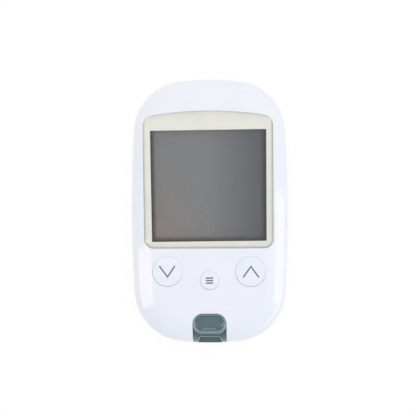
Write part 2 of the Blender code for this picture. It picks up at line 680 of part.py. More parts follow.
def cut_door_recess(cover):
    """Sinks the door's seat into the back, with pockets for its hooks, a catch groove and a finger scoop."""
    width, length = DOOR_WIDTH + 2 * DOOR_EDGE_GAP, DOOR_LENGTH + 2 * DOOR_EDGE_GAP
    radius = DOOR_CORNER_RADIUS + DOOR_EDGE_GAP
    centre = (0, BAY_CENTRE_Y)
    seat = rounded_rectangle(centre, width, length, radius)
    cut(cover, prism("cut_door_seat", seat, -OVERRUN, DOOR_SEAT_Z))
    pocket_y = (DOOR_HINGE_Y - HOOK_ROOT - 2 * HOOK_POCKET_GAP, DOOR_HINGE_Y + HOOK_REACH + HOOK_POCKET_GAP)
    pocket_top = DOOR_SEAT_Z + DOOR_LEDGE_WALL + OVERRUN
    for side, name in ((-1, "left"), (1, "right")):
        cut(cover, box(f"cut_hook_pocket_{name}", about(side * HOOK_X, HOOK_WIDTH + 2 * HOOK_POCKET_GAP),
                       pocket_y, (HOOK_RIM, pocket_top)))
    scoop_y = BAY_CENTRE_Y - length / 2
    bowl = []
    for step in range(4):
        turn = math.pi / 2 * step / 4
        reach, sink = math.cos(turn), math.sin(turn)
        plan = [(x * SCOOP_WIDTH / 2 * reach, scoop_y + y * SCOOP_LENGTH * reach)
                for x, y in circle((0, 0), 1, SMALL_STEPS)]
        bowl.append(at_height(plan, SCOOP_DEPTH * sink))
    skirt = [(x, y, -OVERRUN) for x, y, z in bowl[0]]
    cut(cover, loft("cut_finger_scoop", [skirt] + bowl, tip=(0, scoop_y, SCOOP_DEPTH)))


def display_lens():
    """Clear moulded window: flat behind, crowned in front with the face, bevelled along its edge."""

    def top(x, y):
        return face_height(x, y) + LENS_PROUD

    rings = [
        at_height(lens_outline(0.0), LENS_LOW_Z),
        at_height(lens_outline(0.0), lambda x, y: top(x, y) - LENS_BEVEL_DEPTH),
        at_height(lens_outline(LENS_BEVEL_WIDTH), top),
    ]
    centre_y = (LENS_LOW_Y + LENS_TOP_Y) / 2
    edge = rings[-1]
    for share in FACE_RING_SHARES:
        rings.append(at_height([(x * share, centre_y + (y - centre_y) * share) for x, y, z in edge], top))
    return loft("display_lens", rings, "clear acrylic", tip=(0, centre_y, top(0, centre_y)))


def lens_mask():
    """Cream print behind the lens, with the rectangular view opening."""
    top = MASK_LOW_Z + MASK_THICKNESS
    mask = prism("lens_mask", lens_outline(MASK_INSET), MASK_LOW_Z, top, "cream print")
    view = rectangle(about(0, VIEW_WIDTH), about(VIEW_CENTRE_Y, VIEW_LENGTH))
    return cut(mask, prism("cut_view", view, MASK_LOW_Z - OVERRUN, top + OVERRUN))


def lens_adhesive():
    """Foam tape frame between the ledge of the front cover and the print."""
    low = LENS_SEAT_Z + FILM_GAP
    tape = prism("lens_adhesive", lens_outline(MASK_INSET), low, low + TAPE_THICKNESS, "foam tape")
    inner = lens_outline(MASK_INSET + TAPE_WIDTH)
    return cut(tape, prism("cut_tape", inner, low - OVERRUN, low + TAPE_THICKNESS + OVERRUN))


def display_stack():
    """Front polariser, two glass plates, rear polariser and light guide, one over another."""
    view = about(VIEW_CENTRE_Y, POLARISER_LENGTH)
    glass_y = about(VIEW_CENTRE_Y, GLASS_LENGTH)
    front_glass_y = (glass_y[0] - GLASS_LEDGE, glass_y[1])
    wide, glass = about(0, POLARISER_WIDTH), about(0, GLASS_WIDTH)
    box("lcd_front_polariser", wide, view, (STACK_TOP_Z - POLARISER_THICKNESS, STACK_TOP_Z), "dark polariser")
    box("lcd_front_glass", glass, front_glass_y, (FRONT_GLASS_LOW_Z, FRONT_GLASS_LOW_Z + GLASS_THICKNESS),
        "display glass")
    box("lcd_rear_glass", glass, glass_y, (REAR_GLASS_LOW_Z, REAR_GLASS_LOW_Z + GLASS_THICKNESS),
        "display glass")
    box("lcd_rear_polariser", wide, view, (REAR_POLARISER_LOW_Z, REAR_POLARISER_LOW_Z + POLARISER_THICKNESS),
        "dark polariser")
    guide_y = (glass_y[0] + BACKLIGHT_MARGIN, glass_y[1] - BACKLIGHT_MARGIN)
    box("backlight_panel", about(0, GLASS_WIDTH - 2 * BACKLIGHT_MARGIN), guide_y,
        (BACKLIGHT_LOW_Z, BACKLIGHT_LOW_Z + BACKLIGHT_THICKNESS), "light guide")


def lcd_holder():
    """Black frame on the board that carries the light guide on a ledge and the glass between its walls."""
    low_y = VIEW_CENTRE_Y - GLASS_LENGTH / 2 - GLASS_LEDGE - SLIDE_GAP
    high_y = VIEW_CENTRE_Y + GLASS_LENGTH / 2 + SLIDE_GAP
    half = GLASS_WIDTH / 2 + SLIDE_GAP
    low, top = BOARD_TOP_Z + SEAT_GAP, STACK_TOP_Z - HOLDER_TOP_DROP
    outer_y = (low_y - HOLDER_WALL, high_y + HOLDER_WALL)
    holder = box("lcd_holder", about(0, 2 * (half + HOLDER_WALL)), outer_y, (low, top), "holder black")
    ledge_top = BACKLIGHT_LOW_Z - SEAT_GAP
    cut(holder, box("cut_glass_bed", about(0, 2 * half), (low_y, high_y), (ledge_top, top + OVERRUN)))
    cut(holder, box("cut_holder_hollow", about(0, 2 * half), (low_y, high_y),
                    (low - OVERRUN, ledge_top - HOLDER_LEDGE_THICKNESS)))
    return cut(holder, box("cut_holder_opening", about(0, 2 * (half - HOLDER_LEDGE)),
                           (low_y + SEAT_GAP, high_y - HOLDER_LEDGE), (low - OVERRUN, top + OVERRUN)))


def zebra_strip():
    """Elastomer connector standing between the board and the ledge of the front glass."""
    ledge_y = VIEW_CENTRE_Y - GLASS_LENGTH / 2 - GLASS_LEDGE / 2
    return box("zebra_strip", about(0, ZEBRA_LENGTH), about(ledge_y, ZEBRA_WIDTH),
               (BOARD_TOP_Z + SEAT_GAP, FRONT_GLASS_LOW_Z - SEAT_GAP), "zebra rubber")


def main_board():
    """Circuit board that follows the case, with a notch for the port and four screw holes."""
    board = prism("main_board", inset_outline(BOARD_MARGIN), BOARD_LOW_Z, BOARD_TOP_Z, "board green")
    through = (BOARD_LOW_Z - OVERRUN, BOARD_TOP_Z + OVERRUN)
    notch_half = PORT_WIDTH / 2 + CONNECTOR_FRONT_GAP
    notch_y = (-CASE_END_Y - OVERRUN, PORT_REAR_Y + CONNECTOR_FRONT_GAP)
    cut(board, box("cut_board_notch", about(0, 2 * notch_half), notch_y, through))
    for number, place in enumerate(screw_places(), 1):
        radius = SCREW_SHANK_RADIUS + SCREW_HOLE_GAP
        cut(board, cylinder(f"cut_board_hole_{number}", place, radius, *through, steps=SMALL_STEPS))
    return board


def board_parts():
    """Chips and crystal on top of the board, buzzer under it."""
    low = BOARD_TOP_Z + FILM_GAP
    box("processor_chip", about(PROCESSOR_X, PROCESSOR_SIZE),
        about(VIEW_CENTRE_Y + PROCESSOR_SHIFT, PROCESSOR_SIZE), (low, low + PROCESSOR_HEIGHT), "chip black")
    box("memory_chip", about(MEMORY_X, MEMORY_WIDTH), about(VIEW_CENTRE_Y + MEMORY_SHIFT, MEMORY_LENGTH),
        (low, low + MEMORY_HEIGHT), "chip black")
    can = rounded_rectangle((CRYSTAL_X, VIEW_CENTRE_Y + CRYSTAL_SHIFT), CRYSTAL_LENGTH, CRYSTAL_WIDTH,
                            CRYSTAL_WIDTH / 2 - FILM_GAP)
    prism("crystal", can, low, low + CRYSTAL_HEIGHT, "can metal")
    top = BOARD_LOW_Z - SEAT_GAP
    place = (0, BUZZER_Y)
    bottom = top - BUZZER_HEIGHT
    buzzer = cylinder("buzzer", place, BUZZER_RADIUS, bottom, top, "chip black")
    cut(buzzer, cylinder("cut_buzzer_port", place, BUZZER_PORT_RADIUS, bottom - OVERRUN,
                         bottom + BUZZER_PORT_DEPTH, steps=SMALL_STEPS))


def key(name, place, radius, empty):
    """Keycap in one piece: crowned disc, flange that keeps it under the cover and the post that presses."""
    flange_top = face_height(*place) - KEY_COLLAR_DEPTH - KEY_FLANGE_GAP
    flange_low = flange_top - KEY_FLANGE_THICKNESS
    post_low = BOARD_TOP_Z + SWITCH_HEIGHT + SEAT_GAP + PLUNGER_SHOWN + SEAT_GAP

    def top(x, y):
        return face_height(x, y) + KEY_PROUD

    post, flange = circle(place, KEY_POST_RADIUS), circle(place, radius + KEY_FLANGE)
    rings = [
        at_height(post, post_low),
        at_height(post, flange_low),
        at_height(flange, flange_low),
        at_height(flange, flange_top),
        at_height(circle(place, radius), flange_top),
        at_height(circle(place, radius), lambda x, y: top(x, y) - KEY_BEVEL),
        at_height(circle(place, radius - KEY_BEVEL), top),
    ]
    return hang(loft(f"button_{name}", rings, "key white", tip=(*place, top(*place))), empty)


def switch(name, place, empty):
    """Tactile switch: body on the board, and the plunger that travels with the key."""
    low = BOARD_TOP_Z + SEAT_GAP
    top = BOARD_TOP_Z + SWITCH_HEIGHT
    body = box(f"switch_body_{name}", about(place[0], SWITCH_SIZE), about(place[1], SWITCH_SIZE), (low, top),
               "chip black")
    cut(body, cylinder(f"cut_switch_{name}", place, PLUNGER_RADIUS + SLIDE_GAP, low + SWITCH_FLOOR,
                       top + OVERRUN, steps=SMALL_STEPS))
    plunger_top = top + SEAT_GAP + PLUNGER_SHOWN
    plunger = cylinder(f"switch_plunger_{name}", place, PLUNGER_RADIUS, plunger_top - PLUNGER_LENGTH,
                       plunger_top, "holder black", SMALL_STEPS)
    hang(plunger, empty)


def key_group(name, place, radius):
    """A key, its switch and the empty on the line that the key travels along."""
    empty = axis_empty(f"key_{name}_axis", (*place, face_height(*place)))
    key(name, place, radius, empty)
    switch(name, place, empty)


def strip_port():
    """Port block cut from the case's own form: strip slot, notched mouth, ejector deck, rails and ears."""
    block = front_form("strip_port", 0.0, [(0.0, FRONT_LOW_Z), (0.0, FRONT_LOW_Z + SIDE_BAND)],
                       SHOULDER_STEPS, "slate plastic")
    front = -CASE_END_Y - OVERRUN
    half = PORT_WIDTH / 2
    rail_top = PORT_DECK_Z + PORT_RAIL_HEIGHT
    whole = box("keep_port_block", (-half, half), (front, PORT_REAR_Y), (PART_LINE_Z, rail_top))
    cut(block, whole, "INTERSECT")
    ear_y = (CUTOUT_REAR_Y - PORT_EAR_LENGTH, CUTOUT_REAR_Y)
    ears = box("join_port_ears", about(0, PORT_WIDTH + 2 * PORT_EAR_WIDTH), ear_y,
               (PORT_EAR_Z, PORT_EAR_Z + PORT_EAR_THICKNESS))
    cut(block, ears, "UNION")
    channel_half = half - PORT_RAIL_WIDTH
    cut(block, box("cut_deck", about(0, 2 * channel_half), (front, CUTOUT_REAR_Y),
                   (PORT_DECK_Z, rail_top + OVERRUN)))
    slot_z = (SLOT_FLOOR_Z, SLOT_FLOOR_Z + SLOT_HEIGHT)
    cut(block, box("cut_slot", about(0, SLOT_WIDTH), (front, PORT_REAR_Y + OVERRUN), slot_z))
    space_y = (-CASE_END_Y + SPACE_FRONT_WALL, PORT_REAR_Y + OVERRUN)
    cut(block, box("cut_pusher_space", about(0, PUSHER_PLATE_WIDTH + 2 * PUSHER_SPACE_GAP), space_y,
                   (PUSHER_LOW_Z - PUSHER_SPACE_GAP, PUSHER_TOP_Z + PUSHER_SPACE_GAP)))
    cut(block, mouth_cutter(front))
    leg_y = leg_span()
    for side, name in ((-1, "left"), (1, "right")):
        slot_y = (leg_y[0] - EJECTOR_TRAVEL - SLIDE_GAP, leg_y[1] + SLIDE_GAP)
        cut(block, box(f"cut_leg_slot_{name}", about(side * LEG_X, LEG_WIDTH + 2 * SLIDE_GAP), slot_y,
                       (PUSHER_TOP_Z, PORT_DECK_Z + OVERRUN)))
    return block


def mouth_cutter(front):
    """The flared notch over the mouth of the slot."""
    inner_y = -CASE_END_Y + MOUTH_DEPTH
    flare = (MOUTH_OUTER_WIDTH - MOUTH_INNER_WIDTH) / 2 / MOUTH_DEPTH
    inner, outer = MOUTH_INNER_WIDTH / 2, MOUTH_INNER_WIDTH / 2 + flare * (inner_y - front)
    plan = [(-outer, front), (outer, front), (inner, inner_y), (-inner, inner_y)]
    return prism("cut_mouth", plan, SLOT_FLOOR_Z + MOUTH_FLOOR_RISE, CASE_HEIGHT + OVERRUN)


def leg_span():
    """Where the legs of the thumb piece stand along Y at rest."""
    rear = THUMB_REAR_Y - LEG_SETBACK
    return (rear - LEG_LENGTH, rear)


def thumb_height(x, y):
    """Top of the thumb piece: level with the face at its rear, falling towards the mouth."""
    rear = face_height(0, THUMB_REAR_Y) + THUMB_PROUD
    return rear - (THUMB_REAR_Y - y) * THUMB_SLOPE_SHARE


def thumb_piece(empty):
    """Ejector's thumb piece: a capped slide with a sunken pan, a grip bar in it and two legs below."""
    width = PORT_WIDTH - 2 * THUMB_SIDE_GAP + 2 * PORT_EDGE_GAP
    centre_y = THUMB_REAR_Y - THUMB_LENGTH / 2
    rail_clear = PORT_DECK_Z + PORT_RAIL_HEIGHT + SLIDE_GAP
    keel_width = PORT_WIDTH - 2 * (PORT_RAIL_WIDTH + SLIDE_GAP)

    def plan(inset, shift=0.0):
        sides = (width - 2 * inset, THUMB_LENGTH - 2 * inset)
        return rounded_rectangle((0, centre_y + shift), *sides, THUMB_CORNER_RADIUS - inset, 5)

    keel = plan((width - keel_width) / 2)
    floor = PAN_RIM + PAN_WALL
    rings = [
        at_height(keel, THUMB_LOW_Z),
        at_height(keel, rail_clear),
        at_height(plan(0.0), rail_clear),
        at_height(plan(0.0), lambda x, y: thumb_height(x, y) - THUMB_EDGE),
        at_height(plan(THUMB_EDGE), thumb_height),
        at_height(plan(PAN_RIM, PAN_SHIFT), thumb_height),
        at_height(plan(floor, PAN_SHIFT), lambda x, y: thumb_height(x, y) - PAN_DEPTH),
    ]
    thumb = loft("ejector_button", rings, "slate plastic")
    grip_y = centre_y - THUMB_LENGTH / 2 + floor + GRIP_WIDTH / 2 + PAN_SHIFT
    foot = rounded_rectangle((0, grip_y), GRIP_LENGTH, GRIP_WIDTH, GRIP_WIDTH / 3, 2)
    crest = rounded_rectangle((0, grip_y), GRIP_LENGTH - 2 * GRIP_EDGE, GRIP_WIDTH - 2 * GRIP_EDGE,
                              GRIP_WIDTH / 3 - GRIP_EDGE, 2)
    bottom = thumb_height(0, grip_y) - PAN_DEPTH
    grip = loft("join_grip_bar", [at_height(foot, bottom - PAN_WALL), at_height(foot, bottom + GRIP_EDGE),
                                  at_height(crest, bottom + GRIP_HEIGHT)])
    cut(thumb, grip, "UNION")
    for side, name in ((-1, "left"), (1, "right")):
        leg = box(f"join_leg_{name}", about(side * LEG_X, LEG_WIDTH), leg_span(),
                  (PUSHER_LOW_Z, THUMB_LOW_Z + PAN_WALL))
        cut(thumb, leg, "UNION")
    return hang(thumb, empty)


def ejector_pusher(empty):
    """Pusher: plate on the legs, arm over the connector, finger behind the strip and tab for the spring."""
    leg_y = leg_span()
    levels = (PUSHER_LOW_Z, PUSHER_TOP_Z)
    plate_y = (leg_y[0] - PUSHER_LEAD, leg_y[1] + PUSHER_TAIL)
    tab_y = (FINGER_Y + FINGER_LENGTH / 2, FINGER_Y + FINGER_LENGTH / 2 + TAB_LENGTH)
    pusher = box("ejector_pusher", about(0, PUSHER_PLATE_WIDTH), plate_y, levels, "slate plastic")
    arm = box("join_arm", about(0, PUSHER_ARM_WIDTH), (leg_y[1], tab_y[1]), levels)
    cut(pusher, arm, "UNION")
    finger = box("join_finger", about(0, FINGER_WIDTH), about(FINGER_Y, FINGER_LENGTH),
                 (SLOT_FLOOR_Z + SEAT_GAP, PUSHER_TOP_Z - SEAT_GAP))
    cut(pusher, finger, "UNION")
    tab_top = spring_height() + SPRING_RADIUS + SPRING_WIRE_RADIUS
    tab = box("join_tab", about(0, TAB_WIDTH), tab_y, (PUSHER_LOW_Z + SEAT_GAP, tab_top))
    cut(pusher, tab, "UNION")
    for side, name in ((-1, "left"), (1, "right")):
        hole_y = (leg_y[0] - SEAT_GAP, leg_y[1] + SEAT_GAP)
        cut(pusher, box(f"cut_leg_hole_{name}", about(side * LEG_X, LEG_WIDTH + 2 * SEAT_GAP), hole_y,
                        (PUSHER_LOW_Z - OVERRUN, PUSHER_TOP_Z + OVERRUN)))
    return hang(pusher, empty)


def spring_height():
    """Height of the return spring's axis, just clear of the pusher's arm."""
    return PUSHER_TOP_Z + SLIDE_GAP + SPRING_RADIUS + SPRING_WIRE_RADIUS


def spring_points(steps_per_turn=8):
    """Points of the spring's helix along Y, from the port block to the pusher's tab."""
    start = PORT_REAR_Y + SEAT_GAP + SPRING_WIRE_RADIUS
    end = FINGER_Y + FINGER_LENGTH / 2 - SEAT_GAP - SPRING_WIRE_RADIUS
    count = SPRING_TURNS * steps_per_turn
    points = []
    for step in range(count + 1):
        turn = math.tau * step / steps_per_turn
        y = start + (end - start) * step / count
        points.append((SPRING_RADIUS * math.cos(turn), y, spring_height() + SPRING_RADIUS * math.sin(turn)))
    return points


def least_gap(points, wire_radius, steps_per_turn=8):
    """The least clear distance between one turn of the wire and the next."""
    pairs = [(Vector(a), Vector(b)) for i, a in enumerate(points) for b in points[i + steps_per_turn - 1:]]
    return min((a - b).length for a, b in pairs) - 2 * wire_radius


def ejector_spring():
    """Compression spring: one unbroken wire that pushes the ejector back."""
    points = spring_points()
    print(f"ejector_spring: least gap to itself {least_gap(points, SPRING_WIRE_RADIUS) * 1000:.2f} mm")
    curve = bpy.data.curves.new("ejector_spring", "CURVE")
    curve.dimensions = "3D"
    curve.bevel_depth = SPRING_WIRE_RADIUS
    curve.bevel_resolution = 1
    curve.use_fill_caps = True
    curve.materials.append(material("spring steel"))
    spline = curve.splines.new("POLY")
    spline.points.add(len(points) - 1)
    for point, place in zip(spline.points, points):
        point.co = (*place, 1.0)
    spring = bpy.data.objects.new("ejector_spring", curve)
    bpy.context.scene.collection.objects.link(spring)
    return spring


def bent_strip(name, path, thickness, width, centre, across, finish):
    """A flat metal strip bent along a path of (u, z) points. across names the axis of its width."""
    count = len(path)
    left, right = [], []
    for i, (u, z) in enumerate(path):
        before = Vector(path[max(i - 1, 0)])
        after = Vector(path[min(i + 1, count - 1)])
        here = Vector((u, z))
        ways = [(b - a).normalized() for a, b in ((before, here), (here, after)) if (b - a).length > 0]
        way = sum(ways, Vector((0, 0))).normalized()
        side = Vector((-way.y, way.x)) * thickness / 2 / max(way.dot(ways[0]), 0.5)
        left.append(here + side)
        right.append(here - side)
    profile = left + right[::-1]
    low, high = about(centre, width)
    if across == "x":
        rings = [[(level, u, z) for u, z in profile] for level in (low, high)]
    else:
        rings = [[(u, level, z) for u, z in profile] for level in (low, high)]
    return loft(name, rings, finish)


def connector_front():
    """Front face of the strip connector, behind the port block."""
    return PORT_REAR_Y + CONNECTOR_FRONT_GAP


def contact_places():
    """Where the connector's contacts stand along X."""
    pair = (CONTACT_INNER_X, CONTACT_INNER_X + CONTACT_PITCH)
    return [-x for x in reversed(pair)] + list(pair)


def strip_connector():
    """Strip connector: housing in line with the slot, slit for the finger and a groove for each contact."""
    front = connector_front()
    rear = front + CONNECTOR_LENGTH
    low = BOARD_TOP_Z + FILM_GAP
    top = BOARD_TOP_Z + CONNECTOR_HEIGHT
    body = box("strip_connector", about(0, CONNECTOR_WIDTH), (front, rear), (low, top), "chip black")
    slot_top = SLOT_FLOOR_Z + SLOT_HEIGHT
    inner = rear - CONNECTOR_REAR_WALL
    slot_z = (SLOT_FLOOR_Z, slot_top)
    cut(body, box("cut_connector_slot", about(0, SLOT_WIDTH), (front - OVERRUN, inner), slot_z))
    cut(body, box("cut_finger_slit", about(0, FINGER_SLIT_WIDTH), (front + FINGER_SLIT_FRONT_WALL, inner),
                  (SLOT_FLOOR_Z, top + OVERRUN)))
    for number, x in enumerate(contact_places(), 1):
        groove_y = (front + 2 * FINGER_SLIT_FRONT_WALL, rear + OVERRUN)
        groove_z = (slot_top - FILM_GAP, slot_top + CONTACT_GROOVE_HEIGHT)
        cut(body, box(f"cut_contact_groove_{number}", about(x, CONTACT_GROOVE_WIDTH), groove_y, groove_z))
    return body


def strip_contacts():
    """Sprung contacts: a bow that reaches into the slot, a run through the rear wall and a solder foot."""
    front = connector_front()
    rear = front + CONNECTOR_LENGTH
    slot_top = SLOT_FLOOR_Z + SLOT_HEIGHT
    run_z = slot_top + CONTACT_GROOVE_HEIGHT / 2
    tip_y = front + 4 * FINGER_SLIT_FRONT_WALL
    bow_y = tip_y + CONNECTOR_LENGTH / 4
    foot_z = BOARD_TOP_Z + CONTACT_THICKNESS
    tail_y = rear + CONTACT_TAIL_GAP
    path = [
        (tip_y, run_z),
        (bow_y - CONTACT_FOOT, slot_top - CONTACT_THICKNESS),
        (bow_y, slot_top - 2 * CONTACT_THICKNESS),
        (bow_y + CONTACT_FOOT, slot_top - CONTACT_THICKNESS),
        (bow_y + 3 * CONTACT_FOOT, run_z),
        (tail_y, run_z),
        (tail_y, foot_z),
        (tail_y + CONTACT_FOOT, foot_z),
    ]
    for number, x in enumerate(contact_places(), 1):
        bent_strip(f"strip_contact_{number}", path, CONTACT_THICKNESS, CONTACT_WIDTH, x, "x", "gold plate")


def batteries():
    """Two coin cells, negative cap up, each with a rounded rim and a stepped cap."""
    for number, cell_y in enumerate(CELL_CENTRES_Y, 1):
        centre = (0, cell_y)
        shoulder_z = CELL_TOP_Z - CELL_CAP_HEIGHT
        cap = CELL_RADIUS - CELL_CAP_STEP
        rings = [
            at_height(circle(centre, CELL_RADIUS - CELL_EDGE), CELL_LOW_Z),
            at_height(circle(centre, CELL_RADIUS), CELL_LOW_Z + CELL_EDGE),
            at_height(circle(centre, CELL_RADIUS), shoulder_z),
            at_height(circle(centre, cap), shoulder_z),
            at_height(circle(centre, cap), CELL_TOP_Z),
        ]
        loft(f"battery_{number}", rings, "cell steel")


def battery_contacts():
    """Plated strips from the board into the bay: one bows onto each cell's cap, one onto its rim."""
    board = BOARD_LOW_Z - SEAT_GAP
    half = CONTACT_STRIP_THICKNESS / 2
    run_z = BAY_CEILING_Z - SEAT_GAP - half
    touch_z = CELL_TOP_Z + CONTACT_STRIP_GAP + half
    wall_x = BAY_NICHE_X - CONTACT_SLOT_GAP - half
    bow_x = CELL_RADIUS + CONTACT_STRIP_GAP + half
    for number, cell_y in enumerate(CELL_CENTRES_Y, 1):
        leg_y = cell_y + NEGATIVE_STRIP_REACH
        cap_path = [
            (leg_y, board),
            (leg_y, run_z),
            (cell_y + NEGATIVE_STRIP_REACH / 2, run_z),
            (cell_y, touch_z),
            (cell_y - NEGATIVE_STRIP_REACH / 4, (run_z + touch_z) / 2),
        ]
        bent_strip(f"battery_contact_neg_{number}", cap_path, CONTACT_STRIP_THICKNESS, NEGATIVE_STRIP_WIDTH,
                   0, "x", "nickel plate")
        rim_path = [
            (wall_x, board),
            (wall_x, CELL_TOP_Z - POSITIVE_STRIP_BOW),
            (bow_x, (CELL_TOP_Z + CELL_LOW_Z) / 2),
            (wall_x, CELL_LOW_Z + POSITIVE_STRIP_BOW),
        ]
        bent_strip(f"battery_contact_pos_{number}", rim_path, CONTACT_STRIP_THICKNESS, POSITIVE_STRIP_WIDTH,
                   cell_y, "y", "nickel plate")


def battery_door(empty):
    """Battery door: chamfered plate with two hooks at its upper end and a slit latch tongue at its lower."""
    centre = (0, BAY_CENTRE_Y)
    outer = rounded_rectangle(centre, DOOR_WIDTH, DOOR_LENGTH, DOOR_CORNER_RADIUS)
    face = rounded_rectangle(centre, DOOR_WIDTH - 2 * DOOR_CHAMFER, DOOR_LENGTH - 2 * DOOR_CHAMFER,
                             DOOR_CORNER_RADIUS - DOOR_CHAMFER)
    door = loft("battery_door", [at_height(face, DOOR_SINK), at_height(outer, DOOR_SINK + DOOR_CHAMFER),
                                 at_height(outer, DOOR_INNER_Z)], "case white")
    hook_top = DOOR_INNER_Z + HOOK_THICKNESS
    for side, name in ((-1, "left"), (1, "right")):
        hook_y = (DOOR_HINGE_Y - HOOK_ROOT, DOOR_HINGE_Y + HOOK_REACH)
        hook = box(f"join_hook_{name}", about(side * HOOK_X, HOOK_WIDTH), hook_y,
                   (DOOR_INNER_Z - SEAT_GAP, hook_top))
        cut(door, hook, "UNION")
    low_y = BAY_CENTRE_Y - DOOR_LENGTH / 2
    through = (-OVERRUN, DOOR_INNER_Z + OVERRUN)
    for side, name in ((-1, "left"), (1, "right")):
        slit_x = about(side * (TONGUE_WIDTH + TONGUE_SLIT) / 2, TONGUE_SLIT)
        cut(door, box(f"cut_tongue_slit_{name}", slit_x, (low_y - OVERRUN, low_y + TONGUE_LENGTH), through))
    catch = box("join_catch", about(0, CATCH_WIDTH), (low_y - CATCH_REACH, low_y + CATCH_HEIGHT),
                (DOOR_INNER_Z - 2 * CATCH_HEIGHT, DOOR_INNER_Z - CATCH_HEIGHT))
    cut(door, catch, "UNION")
    return hang(door, empty)


def case_screws():
    """Four domed screws whose heads seat in the counterbores of the rear cover."""
    head_low = SCREW_HEAD_SEAT_Z - SEAT_GAP - SCREW_HEAD_HEIGHT
    for number, place in enumerate(screw_places(), 1):
        head = circle(place, SCREW_HEAD_RADIUS, SMALL_STEPS)
        shank = circle(place, SCREW_SHANK_RADIUS, SMALL_STEPS)
        crown = circle(place, SCREW_HEAD_RADIUS - SCREW_HEAD_DOME, SMALL_STEPS)
        rings = [
            at_height(crown, head_low),
            at_height(head, head_low + SCREW_HEAD_DOME),
            at_height(head, SCREW_HEAD_SEAT_Z - SEAT_GAP),
            at_height(shank, SCREW_HEAD_SEAT_Z - SEAT_GAP),
            at_height(shank, SCREW_TIP_Z - SCREW_SHANK_RADIUS),
        ]
        loft(f"case_screw_{number}", rings, "screw steel", tip=(*place, SCREW_TIP_Z))


def main():
    """Builds the meter from the face down."""
    clear_scene()
    front_cover()
    rear_cover()
    display_lens()
    lens_mask()
    lens_adhesive()
    display_stack()
    lcd_holder()
    zebra_strip()
    main_board()
    board_parts()
    for name, place, radius in keys():
        key_group(name, place, radius)
    strip_port()
    slide_axis = axis_empty("ejector_axis", (0, THUMB_REAR_Y, PORT_DECK_Z))
    thumb_piece(slide_axis)
    ejector_pusher(slide_axis)
    ejector_spring()
    strip_connector()
    strip_contacts()
    batteries()
    battery_contacts()
    battery_door(axis_empty("door_axis", (0, DOOR_HINGE_Y, DOOR_SINK)))
    case_screws()


main()
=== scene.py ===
"""Looks of a hand-held blood glucose meter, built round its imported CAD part, in metres with +Z up."""

import math

import bmesh
import bpy
from mathutils import Matrix, Vector
from mathutils.bvhtree import BVHTree
from mathutils.geometry import intersect_point_line
from mathutils.interpolate import poly_3d_calc


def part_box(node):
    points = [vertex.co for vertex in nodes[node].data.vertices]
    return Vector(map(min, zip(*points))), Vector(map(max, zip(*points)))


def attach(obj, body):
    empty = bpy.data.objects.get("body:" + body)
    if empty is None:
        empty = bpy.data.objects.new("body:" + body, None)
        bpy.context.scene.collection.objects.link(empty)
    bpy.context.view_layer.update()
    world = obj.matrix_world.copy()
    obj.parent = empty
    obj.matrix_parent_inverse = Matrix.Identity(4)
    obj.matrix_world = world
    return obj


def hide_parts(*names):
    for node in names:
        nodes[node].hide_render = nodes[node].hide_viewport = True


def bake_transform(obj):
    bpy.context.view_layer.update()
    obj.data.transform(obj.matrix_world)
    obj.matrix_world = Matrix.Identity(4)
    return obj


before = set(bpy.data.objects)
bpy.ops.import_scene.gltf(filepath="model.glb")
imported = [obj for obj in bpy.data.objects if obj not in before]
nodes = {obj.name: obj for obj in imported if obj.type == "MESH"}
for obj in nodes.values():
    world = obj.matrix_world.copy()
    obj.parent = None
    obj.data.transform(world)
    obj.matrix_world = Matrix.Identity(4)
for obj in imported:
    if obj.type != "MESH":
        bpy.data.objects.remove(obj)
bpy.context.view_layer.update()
scene = bpy.context.scene

# Camera
# The photograph looks straight down on the meter through a long lens, from a little to its right.
# Height and framing follow from the edges of the case and of the window in the picture. It is rolled a trace.
CAMERA_PLACE = Vector((0.0185, 0.0, 0.5000))
CAMERA_AIM = Vector((-0.00070, 0.00115, 0.0084))
FOCAL_LENGTH = 116.15
CAMERA_ROLL = math.radians(0.3)

camera_data = bpy.data.cameras.new("camera")
camera_data.sensor_width = 36.0
camera_data.lens = FOCAL_LENGTH
camera = bpy.data.objects.new("camera", camera_data)
scene.collection.objects.link(camera)
back = (CAMERA_PLACE - CAMERA_AIM).normalized()
right = Vector((math.sin(CAMERA_ROLL), math.cos(CAMERA_ROLL), 0)).cross(back).normalized()
camera.matrix_world = Matrix.Translation(CAMERA_PLACE) @ Matrix(
    (right, back.cross(right), back)).transposed().to_4x4()
scene.camera = camera

# Studio
# A white table in an even white room, whose ceiling is dimmer round the camera. A wide soft lamp hangs overhead
# and two warm ones fill the right side and the upper left. A tall softbox stands at the left, and a low one at
# the right with a card on the table before it. They make the long reflections on the shoulders, and no light.
ROOM_LIGHT = 0.868
CEILING, CEILING_FROM = 0.5, 0.85
FLOOR_GLOW = (0.86, 1.02)
FLOOR_SIZE = 3.0
FLOOR_DROP = 0.0001
LAMPS = {
    "overhead": {"place": (0.10, 0.05, 1.10), "size": (0.90, 0.90), "radiance": 0.4},
    "right_fill": {"place": (0.40, -0.05, 0.20), "size": (0.40, 0.30), "radiance": 0.7, "colour": "#FFF6E6"},
    "upper_fill": {"place": (-0.10, 0.20, 0.20), "size": (0.20, 0.20), "radiance": 0.68, "colour": "#FFEDC4"},
}
SOFTBOXES = {
    "left_softbox": {"place": (-0.190, -0.070, 0.300), "aim": (0.0, -0.070, 0.300), "size": (0.095, 0.600),
                     "radiance": 2.4, "colour": "#FFF3DC"},
    "right_softbox": {"place": (0.310, -0.0660, 0.095), "aim": (0.0, -0.0660, 0.095), "size": (0.168, 0.190),
                      "radiance": 1.8},
    "right_card": {"place": (0.1775, -0.0720, 0.0006), "aim": (0.1775, -0.0720, 1.0), "size": (0.245, 0.156),
                   "radiance": 1.2},
}


